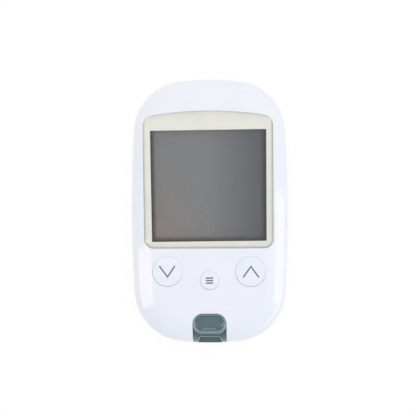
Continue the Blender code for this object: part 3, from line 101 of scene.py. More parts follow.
def linear(code):
    """An sRGB hex colour as the linear values that Blender's sockets take."""
    shares = [int(code[i:i + 2], 16) / 255 for i in (1, 3, 5)]
    return (*[s / 12.92 if s <= 0.04045 else ((s + 0.055) / 1.055) ** 2.4 for s in shares], 1.0)


def feed(node, inputs):
    """Feeds a node: inputs maps a socket's name or number to a value or to another node's output."""
    for key, value in inputs.items():
        if isinstance(value, bpy.types.NodeSocket):
            node.id_data.links.new(value, node.inputs[key])
        else:
            node.inputs[key].default_value = value


def add(tree, kind, inputs=None, **settings):
    """Adds a node with its settings and feeds it."""
    node = tree.nodes.new(kind)
    for key, value in settings.items():
        setattr(node, key, value)
    feed(node, inputs or {})
    return node


def calculate(tree, operation, *values):
    """One Math node on numbers or outputs, or a chain of them where there are more than two."""
    result = add(tree, "ShaderNodeMath", dict(enumerate(values[:2])), operation=operation).outputs[0]
    return calculate(tree, operation, result, *values[2:]) if len(values) > 2 else result


def remap(tree, value, low, high, to_low=0.0, to_high=1.0, kind="LINEAR"):
    """Maps a value from the span between low and high to another span, and holds it inside that."""
    return add(tree, "ShaderNodeMapRange", {"Value": value, "From Min": low, "From Max": high, "To Min": to_low,
                                            "To Max": to_high}, interpolation_type=kind).outputs["Result"]


def mix(tree, share, first, second, kind="MIX"):
    """Mixes two colours, or applies the second to the first, by that share."""
    return add(tree, "ShaderNodeMix", {0: share, 6: first, 7: second}, data_type="RGBA",
               blend_type=kind).outputs[2]


def new_material(name):
    """A new material with its node tree and its shader."""
    made = bpy.data.materials.new(name)
    made.use_nodes = True
    return made, made.node_tree, made.node_tree.nodes["Principled BSDF"]


def seen_directly(tree):
    """1 for a ray from the camera, from gloss or through glass, and 0 for light that falls on a surface."""
    path = add(tree, "ShaderNodeLightPath").outputs
    return calculate(tree, "MAXIMUM", *[path[f"Is {kind} Ray"] for kind in ("Camera", "Glossy", "Transmission")])


world = bpy.data.worlds.new("white_room")
world.use_nodes = True
scene.world = world
room = world.node_tree
height = add(room, "ShaderNodeSeparateXYZ", {0: add(room, "ShaderNodeTexCoord").outputs["Generated"]})
ceiling = remap(room, height.outputs["Z"], CEILING_FROM, 1.0, 1.0, CEILING, "SMOOTHSTEP")
level = remap(room, seen_directly(room), 0.0, 1.0, ROOM_LIGHT, ceiling)
feed(room.nodes["Background"], {"Color": linear("#FFFFFF"), "Strength": level})

floor_mesh = bpy.data.meshes.new("floor")
half_floor = FLOOR_SIZE / 2
floor_mesh.from_pydata([(x * half_floor, y * half_floor, -FLOOR_DROP)
                        for x, y in ((-1, -1), (1, -1), (1, 1), (-1, 1))], [], [(0, 1, 2, 3)])
floor = bpy.data.objects.new("floor", floor_mesh)
scene.collection.objects.link(floor)
table, tree, shader = new_material("white_table")
blend = add(tree, "ShaderNodeMixShader", {
    0: calculate(tree, "MULTIPLY", seen_directly(tree), FLOOR_GLOW[0]),
    1: add(tree, "ShaderNodeBsdfDiffuse", {"Color": linear("#F4F4F4")}).outputs[0],
    2: add(tree, "ShaderNodeEmission", {"Color": linear("#FFFFFF"), "Strength": FLOOR_GLOW[1]}).outputs[0]})
feed(tree.nodes["Material Output"], {"Surface": blend.outputs[0]})
floor_mesh.materials.append(table)


def lamp(name, place, size, radiance, aim=(0.0, 0.0, 0.0), colour="#FFFFFF"):
    """A rectangular soft lamp that looks at aim and has that brightness, where white paper in the room has 1."""
    light = bpy.data.lights.new(name, "AREA")
    light.shape = "RECTANGLE"
    light.size, light.size_y = size
    light.energy = radiance * math.pi * size[0] * size[1]
    light.color = linear(colour)[:3]
    held = bpy.data.objects.new(name, light)
    held.location = place
    held.rotation_euler = (Vector(aim) - Vector(place)).to_track_quat("-Z", "Y").to_euler()
    scene.collection.objects.link(held)
    return held


for name, soft_lamp in LAMPS.items():
    lamp(name, **soft_lamp).visible_glossy = name == "overhead"
for name, softbox in SOFTBOXES.items():
    reflector = lamp(name, **softbox)
    reflector.visible_diffuse = reflector.visible_camera = False

scene.view_settings.view_transform = "Standard"

# Rear half of the case
# An injection moulding in glossy white ABS: a flat back with soft shoulders, a lip that the front half fits
# over, a sunk seat for the battery door and two wells for the coin cells. Four screws come up through it.
CASE_WIDTH, CASE_LENGTH, CASE_HEIGHT = 0.0572, 0.0960, 0.0190
HALF, END_Y = CASE_WIDTH / 2, CASE_LENGTH / 2
SIDE_RADIUS, CORNER_RADIUS, END_RADIUS = 0.4800, 0.0190, 0.1100
REAR_SHOULDER = (0.0068, 0.0085)
SHOULDER_POWER = 2.1
PART_LINE = 0.442 * CASE_HEIGHT
SEAM = 0.0003
SEAM_EDGE = 0.00018
SIDE_BAND = 0.0008
LIP = (0.0009, 0.0010)
WALL = 0.0016
ABOVE = 0.0020
SCREW_PLACES = [(side * x, y) for x, y in ((0.0168, 0.0366), (0.0172, -0.0356)) for side in (-1, 1)]
CELL_Y = (-0.00895, 0.01195)
CELL_WELL = 0.0104
BAY_CEILING, BAY_ROOF, BAY_WALL = 0.0060, 0.0012, 0.0012
NICHE_X = 0.0109
BOARD_LOW, BOARD_TOP = PART_LINE + 0.0008 - 0.0012, PART_LINE + 0.0008
DOOR_CENTRE_Y, DOOR_SIZE, DOOR_SEAT = 0.0015, (0.0260, 0.0500), 0.0017
DOOR_CORNER, DOOR_GAP, DOOR_LEDGE = 0.0030, 0.0003, 0.0012
HOOK_X, HOOK_WIDTH = 0.0070, 0.0040
SCOOP = (0.0110, 0.0045, 0.0010)
COUNTERBORE = (0.0022, 0.0030)
SCREW_HOLE = 0.0011
REAR_BOSS, FRONT_BOSS, CLAMP_GAP = 0.0034, 0.0028, 0.0002
NEGATIVE_SLOT, POSITIVE_SLOT, CONTACT_SLIT, NEGATIVE_Y = 0.0034, 0.0044, 0.00065, 0.0060
SEAT_RIM, SCREW_RIM = 0.00025, 0.00020
HOOK_POCKET, HOOK_POCKET_LOW, HOOK_CLEAR = (0.0028, 0.0016), 0.0012, 0.0008
MOUTH_TURN = math.radians(60)
NOISE_SPAN = (0.3, 0.7)


def arc(centre, radius, start, end, steps):
    """Plan points along an arc, with both ends."""
    turns = [start + (end - start) * i / steps for i in range(steps + 1)]
    return [(centre[0] + radius * math.cos(t), centre[1] + radius * math.sin(t)) for t in turns]


def circle(centre, radius, steps=96):
    """Plan points of a circle."""
    return arc(centre, radius, 0, math.tau, steps)[:-1]


def rectangle(x_span, y_span):
    """The four corners of a plan rectangle."""
    (x0, x1), (y0, y1) = x_span, y_span
    return [(x0, y0), (x1, y0), (x1, y1), (x0, y1)]


def rounded_rectangle(centre, size, radius, steps=10):
    """Plan points of a rectangle with four round corners."""
    points = []
    for quarter, (sx, sy) in enumerate(((1, -1), (1, 1), (-1, 1), (-1, -1))):
        corner = (centre[0] + sx * (size[0] / 2 - radius), centre[1] + sy * (size[1] / 2 - radius))
        start = (quarter - 1) * math.pi / 2
        points += arc(corner, radius, start, start + math.pi / 2, steps)
    return points


def case_plan(side_steps=20, corner_steps=36, end_steps=20):
    """The case's outline with its outward normals: side, corner and end arcs that run into each other."""
    side, end = Vector((HALF - SIDE_RADIUS, 0)), Vector((0, END_Y - END_RADIUS))
    between = side - end
    near, far = END_RADIUS - CORNER_RADIUS, SIDE_RADIUS - CORNER_RADIUS
    along = (near**2 - far**2 + between.length_squared) / (2 * between.length)
    way = between.normalized()
    off = Vector((-way.y, way.x)) * math.sqrt(near**2 - along**2)
    corner = max(end + way * along + off, end + way * along - off, key=lambda place: place.x)
    from_side = math.atan2(corner.y - side.y, corner.x - side.x)
    from_end = math.atan2(corner.y - end.y, corner.x - end.x)
    quarter = []
    for centre, radius, start, stop, steps in (
            (side, SIDE_RADIUS, 0.0, from_side, side_steps),
            (corner, CORNER_RADIUS, from_side, from_end, corner_steps),
            (end, END_RADIUS, from_end, math.pi / 2, end_steps)):
        for step in range(steps):
            turn = start + (stop - start) * step / steps
            normal = (math.cos(turn), math.sin(turn))
            quarter.append((centre.x + radius * normal[0], centre.y + radius * normal[1], *normal))
    quarter.append((0.0, END_Y, 0.0, 1.0))
    upper = quarter[:-1] + [(-x, y, -nx, ny) for x, y, nx, ny in reversed(quarter)][:-1]
    return upper + [(-x, -y, -nx, -ny) for x, y, nx, ny in upper]


PLAN = case_plan()


def rounding(edge, steps, reach=math.pi / 2):
    """How far a rounded edge has gone inwards, and how far it still has to rise, at each step of its turn."""
    turns = [reach * step / steps for step in range(steps + 1)]
    return [(edge * (1 - math.cos(turn)), edge * (1 - math.sin(turn))) for turn in turns]


def at_height(outline, z):
    """Plan points raised to z, which is a height or a function of x and y."""
    return [(x, y, z(x, y) if callable(z) else z) for x, y in outline]


def case_ring(inset, z):
    """The case's outline moved inwards by inset, at height z."""
    return [(x - nx * inset, y - ny * inset, z) for x, y, nx, ny in PLAN]


def shoulder(inset, base, level, widths, steps):
    """Rings that go from a wall at height base over the shoulder to the height that level gives."""
    rings = []
    for step in range(1, steps + 1):
        turn = math.pi / 2 * step / steps
        across = 1 - abs(math.cos(turn)) ** (2 / SHOULDER_POWER)
        rise = math.sin(turn) ** (2 / SHOULDER_POWER)
        ring = []
        for x, y, nx, ny in PLAN:
            reach = inset + across * (widths[0] + (widths[1] - widths[0]) * ny**2)
            px, py = x - nx * reach, y - ny * reach
            ring.append((px, py, base + (level(px, py) - base) * rise))
        rings.append(ring)
    return rings


def loft(name, rings, tip=None, caps=True):
    """A mesh through rings of equal count: closed by a flat face at each end, or by a fan to a tip at the last."""
    bm = bmesh.new()
    levels = [[bm.verts.new(point) for point in ring] for ring in rings]
    count = len(levels[0])
    if caps:
        bm.faces.new(levels[0])
    for low, high in zip(levels, levels[1:]):
        for i in range(count):
            j = (i + 1) % count
            bm.faces.new((low[i], low[j], high[j], high[i]))
    if tip is not None:
        end = bm.verts.new(tip)
        for i in range(count):
            bm.faces.new((levels[-1][i], levels[-1][(i + 1) % count], end))
    elif caps:
        bm.faces.new(levels[-1])
    bmesh.ops.recalc_face_normals(bm, faces=bm.faces)
    mesh = bpy.data.meshes.new(name)
    bm.to_mesh(mesh)
    bm.free()
    piece = bpy.data.objects.new(name, mesh)
    scene.collection.objects.link(piece)
    return piece


def prism(outline, low, high, name="tool"):
    """An upright solid on a plan outline."""
    return loft(name, [at_height(outline, low), at_height(outline, high)])


def block(x_span, y_span, z_span, name="tool"):
    """An upright box between three spans."""
    return prism(rectangle(x_span, y_span), *z_span, name)


def about(centre, size):
    """The span of that size about a centre."""
    return (centre - size / 2, centre + size / 2)


def carve(piece, tool, operation="DIFFERENCE"):
    """Cuts the tool from the piece, or joins it to the piece, and leaves the result in the piece's mesh."""
    modifier = piece.modifiers.new("carve", "BOOLEAN")
    modifier.object, modifier.operation, modifier.solver = tool, operation, "MANIFOLD"
    bpy.context.view_layer.update()
    graph = bpy.context.evaluated_depsgraph_get()
    piece.data = bpy.data.meshes.new_from_object(piece.evaluated_get(graph))
    piece.modifiers.clear()
    bpy.data.objects.remove(tool)
    return piece


def mouth(outline, low, level, edge, way=1):
    """A cutter for a hole whose rim is rounded by edge. outline(grow) gives its plan, level its rim's height.

    way is 1 for a hole that opens upwards and -1 for one that opens downwards.
    """
    rings = [at_height(outline(0.0), low)]
    for inset, drop in rounding(edge, 5, MOUTH_TURN):
        rings.append(at_height(outline(inset), lambda x, y: level(x, y) - way * drop))
    spare = 0.6 * edge
    flare = outline(edge / 2 + spare * math.tan(MOUTH_TURN))
    rings.append(at_height(flare, lambda x, y: level(x, y) - way * (drop - spare)))
    rings.append(at_height(flare, CASE_HEIGHT + ABOVE if way > 0 else -ABOVE))
    return loft("tool", rings)


def skin_of(rings, tip=None):
    """The smooth outer skin that a moulding's surface follows: a search tree, its corners and their normals."""
    guide = loft("guide", rings, tip=tip, caps=False)
    mesh = guide.data
    corners = [vertex.co.copy() for vertex in mesh.vertices]
    normals = [Vector(normal.vector) for normal in mesh.vertex_normals]
    faces = [tuple(face.vertices) for face in mesh.polygons]
    bpy.data.objects.remove(guide)
    return BVHTree.FromPolygons(corners, faces), corners, normals, faces


def smooth(piece, skin=None, sharp=32):
    """Shades a piece smooth up to the sharp angle. Faces on the skin take the skin's own normals."""
    mesh = piece.data
    mesh.shade_smooth()
    mesh.set_sharp_from_angle(angle=math.radians(sharp))
    if skin is None:
        return piece
    search, corners, normals, faces = skin
    nearest = []
    for vertex in mesh.vertices:
        place, normal, index, distance = search.find_nearest(vertex.co)
        shares = poly_3d_calc([corners[i] for i in faces[index]], place)
        way = sum((normals[i] * share for i, share in zip(faces[index], shares)), Vector())
        nearest.append((way.normalized(), distance))
    wanted = [(0.0, 0.0, 0.0)] * len(mesh.loops)
    for face in mesh.polygons:
        ways = [nearest[mesh.loops[i].vertex_index] for i in face.loop_indices]
        if all(distance < 1.5e-5 and way.dot(face.normal) > 0.96 for way, distance in ways):
            for i, (way, distance) in zip(face.loop_indices, ways):
                wanted[i] = tuple(way)
    mesh.normals_split_custom_set(wanted)
    return piece


def settle(piece, material, body, slot, *replaced):
    """Gives a finished piece its material and its body, if it has one, and hides what it replaces. Its slot is not
    used.
    """
    piece.data.materials.clear()
    for one in material if isinstance(material, (list, tuple)) else [material]:
        piece.data.materials.append(one)
    if body:
        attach(piece, body)
    if replaced:
        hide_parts(*replaced)
    return piece


def grained(name, tones, grain, roughness, relief=0.0, metallic=0.0, **constants):
    """A moulded, cast or plated surface: two tones that drift over grain metres, with uneven gloss and relief."""
    made, tree, shader = new_material(name)
    place = add(tree, "ShaderNodeTexCoord").outputs["Object"]
    cloud = add(tree, "ShaderNodeTexNoise", {"Vector": place, "Scale": 1 / grain, "Detail": 3.0}).outputs[0]
    fine = add(tree, "ShaderNodeTexNoise", {"Vector": place, "Scale": 3 / grain, "Detail": 2.0}).outputs[0]
    tone = mix(tree, remap(tree, cloud, *NOISE_SPAN), linear(tones[0]), linear(tones[1]))
    feed(shader, {"Base Color": tone, "Metallic": metallic,
                  "Roughness": remap(tree, fine, *NOISE_SPAN, *roughness)})
    if relief:
        bump = add(tree, "ShaderNodeBump", {"Height": fine, "Distance": relief, "Strength": 1.0})
        feed(shader, {"Normal": bump.outputs[0]})
    feed(shader, {key.replace("_", " ").title().replace("Ior", "IOR"): value for key, value in constants.items()})
    return made


# Gloss-moulded ABS: a bluish white that mirrors softly, with the faint orange peel of a polished mould.
abs_gloss = grained("abs_gloss_white", ("#E7ECF7", "#EAEEF8"), 0.012, (0.04, 0.07), relief=0.000002)

rear_rings = shoulder(0.0, PART_LINE - SEAM / 2 - SIDE_BAND, lambda x, y: 0.0, REAR_SHOULDER, 22)[::-1]
rear_rings.append(case_ring(0.0, PART_LINE - SEAM / 2 - SIDE_BAND))
rear_rings.append(case_ring(0.0, PART_LINE - SEAM / 2 - SEAM_EDGE))
rear_skin = skin_of(rear_rings)
rim = PART_LINE - SEAM / 2
rear_rings += [case_ring(inset, rim - drop) for inset, drop in rounding(SEAM_EDGE, 4)[1:]]
rear_rings += [case_ring(LIP[0], rim), case_ring(LIP[0], rim + LIP[1])]
rear_shell = loft("rear_shell", rear_rings)
hollow = loft("hollow", shoulder(WALL, rim - SIDE_BAND, lambda x, y: WALL, REAR_SHOULDER, 8)[::-1]
              + [case_ring(WALL, rim - SIDE_BAND), case_ring(WALL, rim + ABOVE)])
bay_length = CELL_Y[1] - CELL_Y[0] + 2 * (CELL_WELL + BAY_WALL)
carve(hollow, block(about(0, 2 * (NICHE_X + BAY_WALL)), about(DOOR_CENTRE_Y, bay_length),
                    (-ABOVE, BAY_CEILING + BAY_ROOF)))
ledge = 2 * (DOOR_GAP + DOOR_LEDGE)
carve(hollow, block(about(0, DOOR_SIZE[0] + ledge), about(DOOR_CENTRE_Y, DOOR_SIZE[1] + ledge),
                    (-ABOVE, DOOR_SEAT + DOOR_LEDGE)))
for place in SCREW_PLACES:
    carve(hollow, prism(circle(place, REAR_BOSS, 48), -ABOVE, BOARD_LOW - CLAMP_GAP))
carve(rear_shell, hollow)
roof = (BAY_CEILING - ABOVE, BAY_CEILING + BAY_ROOF + ABOVE)
for cell_y in CELL_Y:
    carve(rear_shell, prism(circle((0, cell_y), CELL_WELL, 128), -ABOVE, BAY_CEILING))
    carve(rear_shell, block((0, NICHE_X), about(cell_y, POSITIVE_SLOT), (-ABOVE, BAY_CEILING)))
    carve(rear_shell, block((NICHE_X - CONTACT_SLIT, NICHE_X), about(cell_y, POSITIVE_SLOT), roof))
    carve(rear_shell, block(about(0, NEGATIVE_SLOT), about(cell_y + NEGATIVE_Y, CONTACT_SLIT), roof))


def door_seat(grow):
    """Plan of the seat that the door lies in."""
    size = [side + 2 * (DOOR_GAP + grow) for side in DOOR_SIZE]
    return rounded_rectangle((0, DOOR_CENTRE_Y), size, DOOR_CORNER + DOOR_GAP + grow)


carve(rear_shell, mouth(door_seat, DOOR_SEAT, lambda x, y: 0.0, SEAT_RIM, way=-1))
hinge_y = DOOR_CENTRE_Y + DOOR_SIZE[1] / 2
for side in (-1, 1):
    carve(rear_shell, block(about(side * HOOK_X, HOOK_WIDTH + HOOK_CLEAR),
                            (hinge_y - HOOK_POCKET[0], hinge_y + HOOK_POCKET[1]),
                            (HOOK_POCKET_LOW, DOOR_SEAT + DOOR_LEDGE + ABOVE)))
scoop_y = DOOR_CENTRE_Y - DOOR_SIZE[1] / 2 - DOOR_GAP
bowl = []
for step in range(12):
    turn = math.pi / 2 * step / 12
    reach, sink = math.cos(turn), math.sin(turn)
    bowl.append(at_height([(x * SCOOP[0] / 2 * reach, scoop_y + y * SCOOP[1] * reach)
                           for x, y in circle((0, 0), 1, 64)], SCOOP[2] * sink))
carve(rear_shell, loft("scoop", [[(x, y, -ABOVE) for x, y, z in bowl[0]]] + bowl,
                       tip=(0, scoop_y, SCOOP[2])))
for place in SCREW_PLACES:
    carve(rear_shell, mouth(lambda grow: circle(place, COUNTERBORE[0] + grow, 64), COUNTERBORE[1],
                            lambda x, y: 0.0, SCREW_RIM, way=-1))
    carve(rear_shell, prism(circle(place, SCREW_HOLE, 32), 0.0, rim + 2 * ABOVE))


PORT_WIDTH, PORT_GAP = 0.0121, 0.00005
CUTOUT_REAR, CUTOUT_CORNER = 0.0112 - END_Y, 0.0037


def port_cutter():
    """The cutter for the strip port: open towards the lower end of the case, round at its rear."""
    half, front = PORT_WIDTH / 2 + PORT_GAP, -END_Y - ABOVE
    bend = arc((half - CUTOUT_CORNER, CUTOUT_REAR - CUTOUT_CORNER), CUTOUT_CORNER, 0, math.pi / 2, 12)
    return prism([(-half, front), (half, front)] + bend + [(-x, y) for x, y in reversed(bend)], PART_LINE,
                 CASE_HEIGHT + ABOVE)


carve(rear_shell, port_cutter())
settle(smooth(rear_shell, rear_skin), abs_gloss, "housing", "case_white", "rear_cover")

# Main board
# A glass-epoxy circuit board under green solder mask, clamped between the screw bosses. It carries a
# processor and a memory chip, a quartz crystal in its can and a buzzer that sounds downwards.
TRACK_PITCH, TRACK_HEIGHT, VIA_PITCH, VIA_SHARE = 0.0060, 0.00003, 0.0035, 0.12
board_green, tree, shader = new_material("solder_mask_green")
place = add(tree, "ShaderNodeTexCoord").outputs["Object"]
tracks = add(tree, "ShaderNodeTexBrick", {
    "Vector": place, "Color1": linear("#1B6A3C"), "Color2": linear("#17603A"), "Mortar": linear("#257A49"),
    "Scale": 1 / TRACK_PITCH, "Mortar Size": 0.05, "Mortar Smooth": 0.1, "Brick Width": 0.9, "Row Height": 0.2})
vias = add(tree, "ShaderNodeTexVoronoi", {"Vector": place, "Scale": 1 / VIA_PITCH})
pad = calculate(tree, "LESS_THAN", vias.outputs["Distance"], VIA_SHARE)
raised = add(tree, "ShaderNodeBump", {"Height": tracks.outputs["Fac"], "Distance": TRACK_HEIGHT})
feed(shader, {"Base Color": mix(tree, pad, tracks.outputs["Color"], linear("#B9AE84")),
              "Normal": raised.outputs[0], "Roughness": 0.35})

# Black epoxy moulding compound: matt, with the fine grain that laser marking is put on.
epoxy = grained("epoxy_compound_black", ("#232426", "#2B2C2E"), 0.0004, (0.45, 0.60), relief=0.000006)
# Drawn nickel-plated can: a warm metal with faint lengthwise drawing.
can_metal = grained("drawn_can_metal", ("#C4C5C6", "#D2D2D1"), 0.0010, (0.22, 0.34), relief=0.000003,
                    metallic=1.0)


def dress(material, *names):
    """Gives CAD nodes whose shape is right their material."""
    for name in names:
        mesh = nodes[name].data
        mesh.materials.clear()
        mesh.materials.append(material)


dress(board_green, "main_board")
dress(epoxy, "processor_chip", "memory_chip", "buzzer")
dress(can_metal, "crystal")

# Tactile switches, strip connector and its contacts
# Three sealed switches stand under the keys. The connector is a glass-filled moulding that the test strip
# slides into, with four gold-plated springs that press on the strip's tracks.
switch_black = grained("glass_filled_nylon_black", ("#242527", "#2E2F31"), 0.0006, (0.50, 0.65),
                       relief=0.000008)
gold = grained("gold_flash_on_bronze", ("#D9A84E", "#E3B765"), 0.0008, (0.18, 0.30), metallic=1.0)
dress(switch_black, "switch_body_down", "switch_body_mode", "switch_body_up", "strip_connector",
      "switch_plunger_down", "switch_plunger_mode", "switch_plunger_up")
dress(gold, "strip_contact_1", "strip_contact_2", "strip_contact_3", "strip_contact_4")

# Display stack
# A reflective liquid crystal cell under a grey polariser, over a milky light guide, in a black holder that
# stands on the board. A layered rubber strip joins the glass to the board.
VIEW_CORNERS = [(-0.02055, -0.01100), (0.02065, -0.01072), (0.02070, 0.02940), (-0.02115, 0.02905)]
# Painted shade on the film beside the lower, right and left edge of the opening, where the print's frame would
# shadow it,
# and painted light beside the upper edge: how far each reaches in, and what red, green and blue are multiplied by
# at the edge itself. More than 1 makes it lighter.
EDGE_SHADE_AND_LIGHT = ((0.0025, (0.25, 0.06, 0.0)), (0.0028, (0.0, 0.0, 0.0)), (0.0035, (1.22, 1.22, 1.22)),
              (0.0020, (0.05, 0.05, 0.0)))
# The film's tone carries a painted reflection: lighter at the left, darker to the right and warmer at the lower
# left.
# These are where it changes: towards the right, towards the left and down.
TONE_RIGHT, TONE_LEFT, TONE_DOWN = (-0.004, 0.021), (0.0, -0.021), (0.020, -0.010)
MOTTLE_SIZE, MOTTLE = 0.0006, (0.82, 1.18)
ZEBRA_PITCH = 0.0006
polariser, tree, shader = new_material("grey_polariser_film")
place = add(tree, "ShaderNodeTexCoord").outputs["Object"]
axes = add(tree, "ShaderNodeSeparateXYZ", {0: place})
to_right = remap(tree, axes.outputs["X"], *TONE_RIGHT, kind="SMOOTHSTEP")
to_left = remap(tree, axes.outputs["X"], *TONE_LEFT)
down = remap(tree, axes.outputs["Y"], *TONE_DOWN)
# Painted reflection: the film is lighter at the left, darker to the right and warmer at its lower left.
tone = mix(tree, to_right, linear("#6D7075"), linear("#454E56"))
tinted = mix(tree, calculate(tree, "MULTIPLY", to_left, down), tone, linear("#7E7170"))
mottle = add(tree, "ShaderNodeTexNoise", {"Vector": place, "Scale": 1 / MOTTLE_SIZE, "Detail": 1.0}).outputs[0]
shaded = add(tree, "ShaderNodeVectorMath", {0: tinted, 1: remap(tree, mottle, *NOISE_SPAN, *MOTTLE)},
             operation="MULTIPLY").outputs[0]
# Painted shade beside the lower, right and left edges of the opening, and painted light beside the upper edge.
for side, (reach, share) in enumerate(EDGE_SHADE_AND_LIGHT):
    start, end = Vector(VIEW_CORNERS[side]), Vector(VIEW_CORNERS[(side + 1) % 4])
    inward = Vector((start.y - end.y, end.x - start.x, 0.0)).normalized()
    depth = add(tree, "ShaderNodeVectorMath", {0: place, 1: inward}, operation="DOT_PRODUCT").outputs["Value"]
    limit = inward.dot(start.to_3d())
    near = remap(tree, depth, limit, limit + reach, 1.0, 0.0, "SMOOTHSTEP")
    shaded = mix(tree, near, shaded, (*share, 1.0), "MULTIPLY")
feed(shader, {"Base Color": shaded, "Roughness": 0.38, "Specular IOR Level": 0.25})

display_glass = grained("display_glass", ("#8FA09E", "#9AAAA8"), 0.0100, (0.04, 0.08))
light_guide = grained("milky_light_guide", ("#DEDFDB", "#E6E6E2"), 0.0060, (0.35, 0.45))
holder_black = grained("polycarbonate_black", ("#1E1E1F", "#262627"), 0.0008, (0.45, 0.60), relief=0.000006)
zebra, tree, shader = new_material("layered_silicone")
stripes = add(tree, "ShaderNodeTexWave", {"Vector": add(tree, "ShaderNodeTexCoord").outputs["Object"],
                                          "Scale": 1 / ZEBRA_PITCH, "Distortion": 0.0})
layers = mix(tree, stripes.outputs["Fac"], linear("#1B1513"), linear("#A0493A"))
feed(shader, {"Base Color": layers, "Roughness": 0.70})
dress(polariser, "lcd_front_polariser", "lcd_rear_polariser")
dress(display_glass, "lcd_front_glass", "lcd_rear_glass")
dress(light_guide, "backlight_panel")
dress(holder_black, "lcd_holder")
dress(zebra, "zebra_strip")

# Front half of the case
# The same glossy ABS: a crowned face with wide soft shoulders. The window drops into a seat in it, three key
# holes have collars behind them, and the lower end is cut away for the strip port.
FRONT_SHOULDER = (0.0080, 0.0092)
CROWN_ACROSS, CROWN_ALONG = 0.6000, 2.6000
LENS_WIDTH, LENS_LOW_Y, LENS_TOP_Y = 0.0466, 0.0348 - END_Y, END_Y - 0.0121
LENS_ARCH, LENS_CORNER = 0.1270, 0.0032
# The left side is moved by the first and leans to the left by the second, and the right side is moved by the third.
LENS_LEAN = (-0.00004, 0.011, -0.00024)
LENS_GAP, LENS_SEAT, LENS_LEDGE = 0.00015, CASE_HEIGHT - 0.0025, 0.0018
FRAME_DEPTH, FRAME_WALL = 0.0014, 0.0010
KEYS = {
    "down": ((-0.2605 * CASE_WIDTH - 0.0001, LENS_LOW_Y - 0.00840), 0.00531),
    "mode": ((0.0001, 0.0231 - END_Y), 0.00321),
    "up": ((0.2605 * CASE_WIDTH, LENS_LOW_Y - 0.00858), 0.00531),
}
KEY_GAP, KEY_FLANGE, KEY_COLLAR = 0.0002, 0.0011, 0.0021
RIM_EDGE, KEY_RIM = 0.00022, 0.00012
REBATE_GAP, SCREW_ROOF = 0.00015, 0.0040


def crown(x, y):
    """Height of the crowned face."""
    return CASE_HEIGHT - x**2 / (2 * CROWN_ACROSS) - y**2 / (2 * CROWN_ALONG)


def front_rings(wall, foot, steps, shares):
    """Rings of the crowned form, wall inside its skin, from the foot rings up, with its tip."""

    def level(x, y):
        return crown(x, y) - wall

    rings = foot + shoulder(wall, foot[-1][0][2], level, FRONT_SHOULDER, steps)
    edge = rings[-1]
    rings += [at_height([(x * share, y * share) for x, y, z in edge], level) for share in shares]
    return rings, (0, 0, level(0, 0))


def lens_plan(grow):
    """Plan of the window, grown by grow: straight sides that lean a trace, round corners and an arched top."""
    half, low, top = LENS_WIDTH / 2 + grow, LENS_LOW_Y - grow, LENS_TOP_Y + grow
    arch, corner = LENS_ARCH + grow, max(LENS_CORNER + grow, LENS_CORNER / 4)
    arch_y = top - arch
    rise = math.sqrt((arch - corner) ** 2 - (half - corner) ** 2)
    meets = math.atan2(rise, half - corner)
    side = arc((half - corner, low + corner), corner, -math.pi / 2, 0, 12)
    side += arc((half - corner, arch_y + rise), corner, 0, meets, 12)
    side += arc((0.0, arch_y), arch, meets, math.pi / 2, 16)[1:]
    plan = side + [(-x, y) for x, y in reversed(side[:-1])]
    left, lean, right = LENS_LEAN
    return [(x + (left - lean * y) * (0.5 - x / LENS_WIDTH) + right * (0.5 + x / LENS_WIDTH), y)
            for x, y in plan]


front_low = PART_LINE + SEAM / 2
band = [case_ring(0.0, front_low + SEAM_EDGE), case_ring(0.0, front_low + SIDE_BAND)]
shares = [0.94, 0.86, 0.76, 0.64, 0.50, 0.34, 0.17]
skin_rings, front_tip = front_rings(0.0, band, 26, shares)
front_skin = skin_of(skin_rings, front_tip)
edge_rings = [case_ring(drop, front_low + inset) for inset, drop in rounding(SEAM_EDGE, 4)[:-1]]
front_shell = loft("front_shell", edge_rings + skin_rings, tip=front_tip)
rebate = rim + LIP[1] + REBATE_GAP
hollow_rings, hollow_tip = front_rings(
    WALL, [case_ring(WALL / 2, front_low - ABOVE), case_ring(WALL / 2, rebate), case_ring(WALL, rebate),
           case_ring(WALL, rebate + SIDE_BAND)], 8, [0.7, 0.4])
hollow = loft("hollow", hollow_rings, tip=hollow_tip)
frame_low = LENS_SEAT - FRAME_DEPTH
carve(hollow, prism(lens_plan(LENS_GAP + FRAME_WALL), frame_low, CASE_HEIGHT + ABOVE))
for place, radius in KEYS.values():
    carve(hollow, prism(circle(place, radius + KEY_FLANGE), crown(*place) - KEY_COLLAR, CASE_HEIGHT + ABOVE))
for place in SCREW_PLACES:
    carve(hollow, prism(circle(place, FRONT_BOSS, 48), BOARD_TOP + CLAMP_GAP, CASE_HEIGHT + ABOVE))
carve(front_shell, hollow)
carve(front_shell, mouth(lambda grow: lens_plan(LENS_GAP + grow), LENS_SEAT, crown, RIM_EDGE))
carve(front_shell, prism(lens_plan(-LENS_LEDGE), frame_low - ABOVE, CASE_HEIGHT + ABOVE))
for place, radius in KEYS.values():
    carve(front_shell, mouth(lambda grow: circle(place, radius + KEY_GAP + grow),
                             CASE_HEIGHT - KEY_COLLAR - ABOVE, crown, KEY_RIM))
for place in SCREW_PLACES:
    carve(front_shell, prism(circle(place, SCREW_HOLE, 32), BOARD_LOW, CASE_HEIGHT - SCREW_ROOF))
carve(front_shell, port_cutter())
settle(smooth(front_shell, front_skin), abs_gloss, "housing", "case_white", "front_cover")

# Print and tape behind the window
# Cream ink over a black backing, screened on the window's flat rear face with a clear opening for the
# display, and a frame of black foam tape that holds the window in its seat.
MASK_LOW = LENS_SEAT + 0.0004
MASK_TOP = MASK_LOW + 0.00015
# The band of painted shade at the print's outer edge, which the print's rings follow, and how it fades along the
# arched top.
RIM_BAND, RIM_FADE, ARCH_FADE = (0.00050, 0.00105), (0.0045, 0.0020), 0.85
TAPE_WIDTH, TAPE_SPAN = 0.0013, (LENS_SEAT + 0.00005, LENS_SEAT + 0.00035)
cream = grained("screen_ink_cream", ("#E4E5E2", "#E9EAE7"), 0.0080, (0.40, 0.50), relief=0.000002)


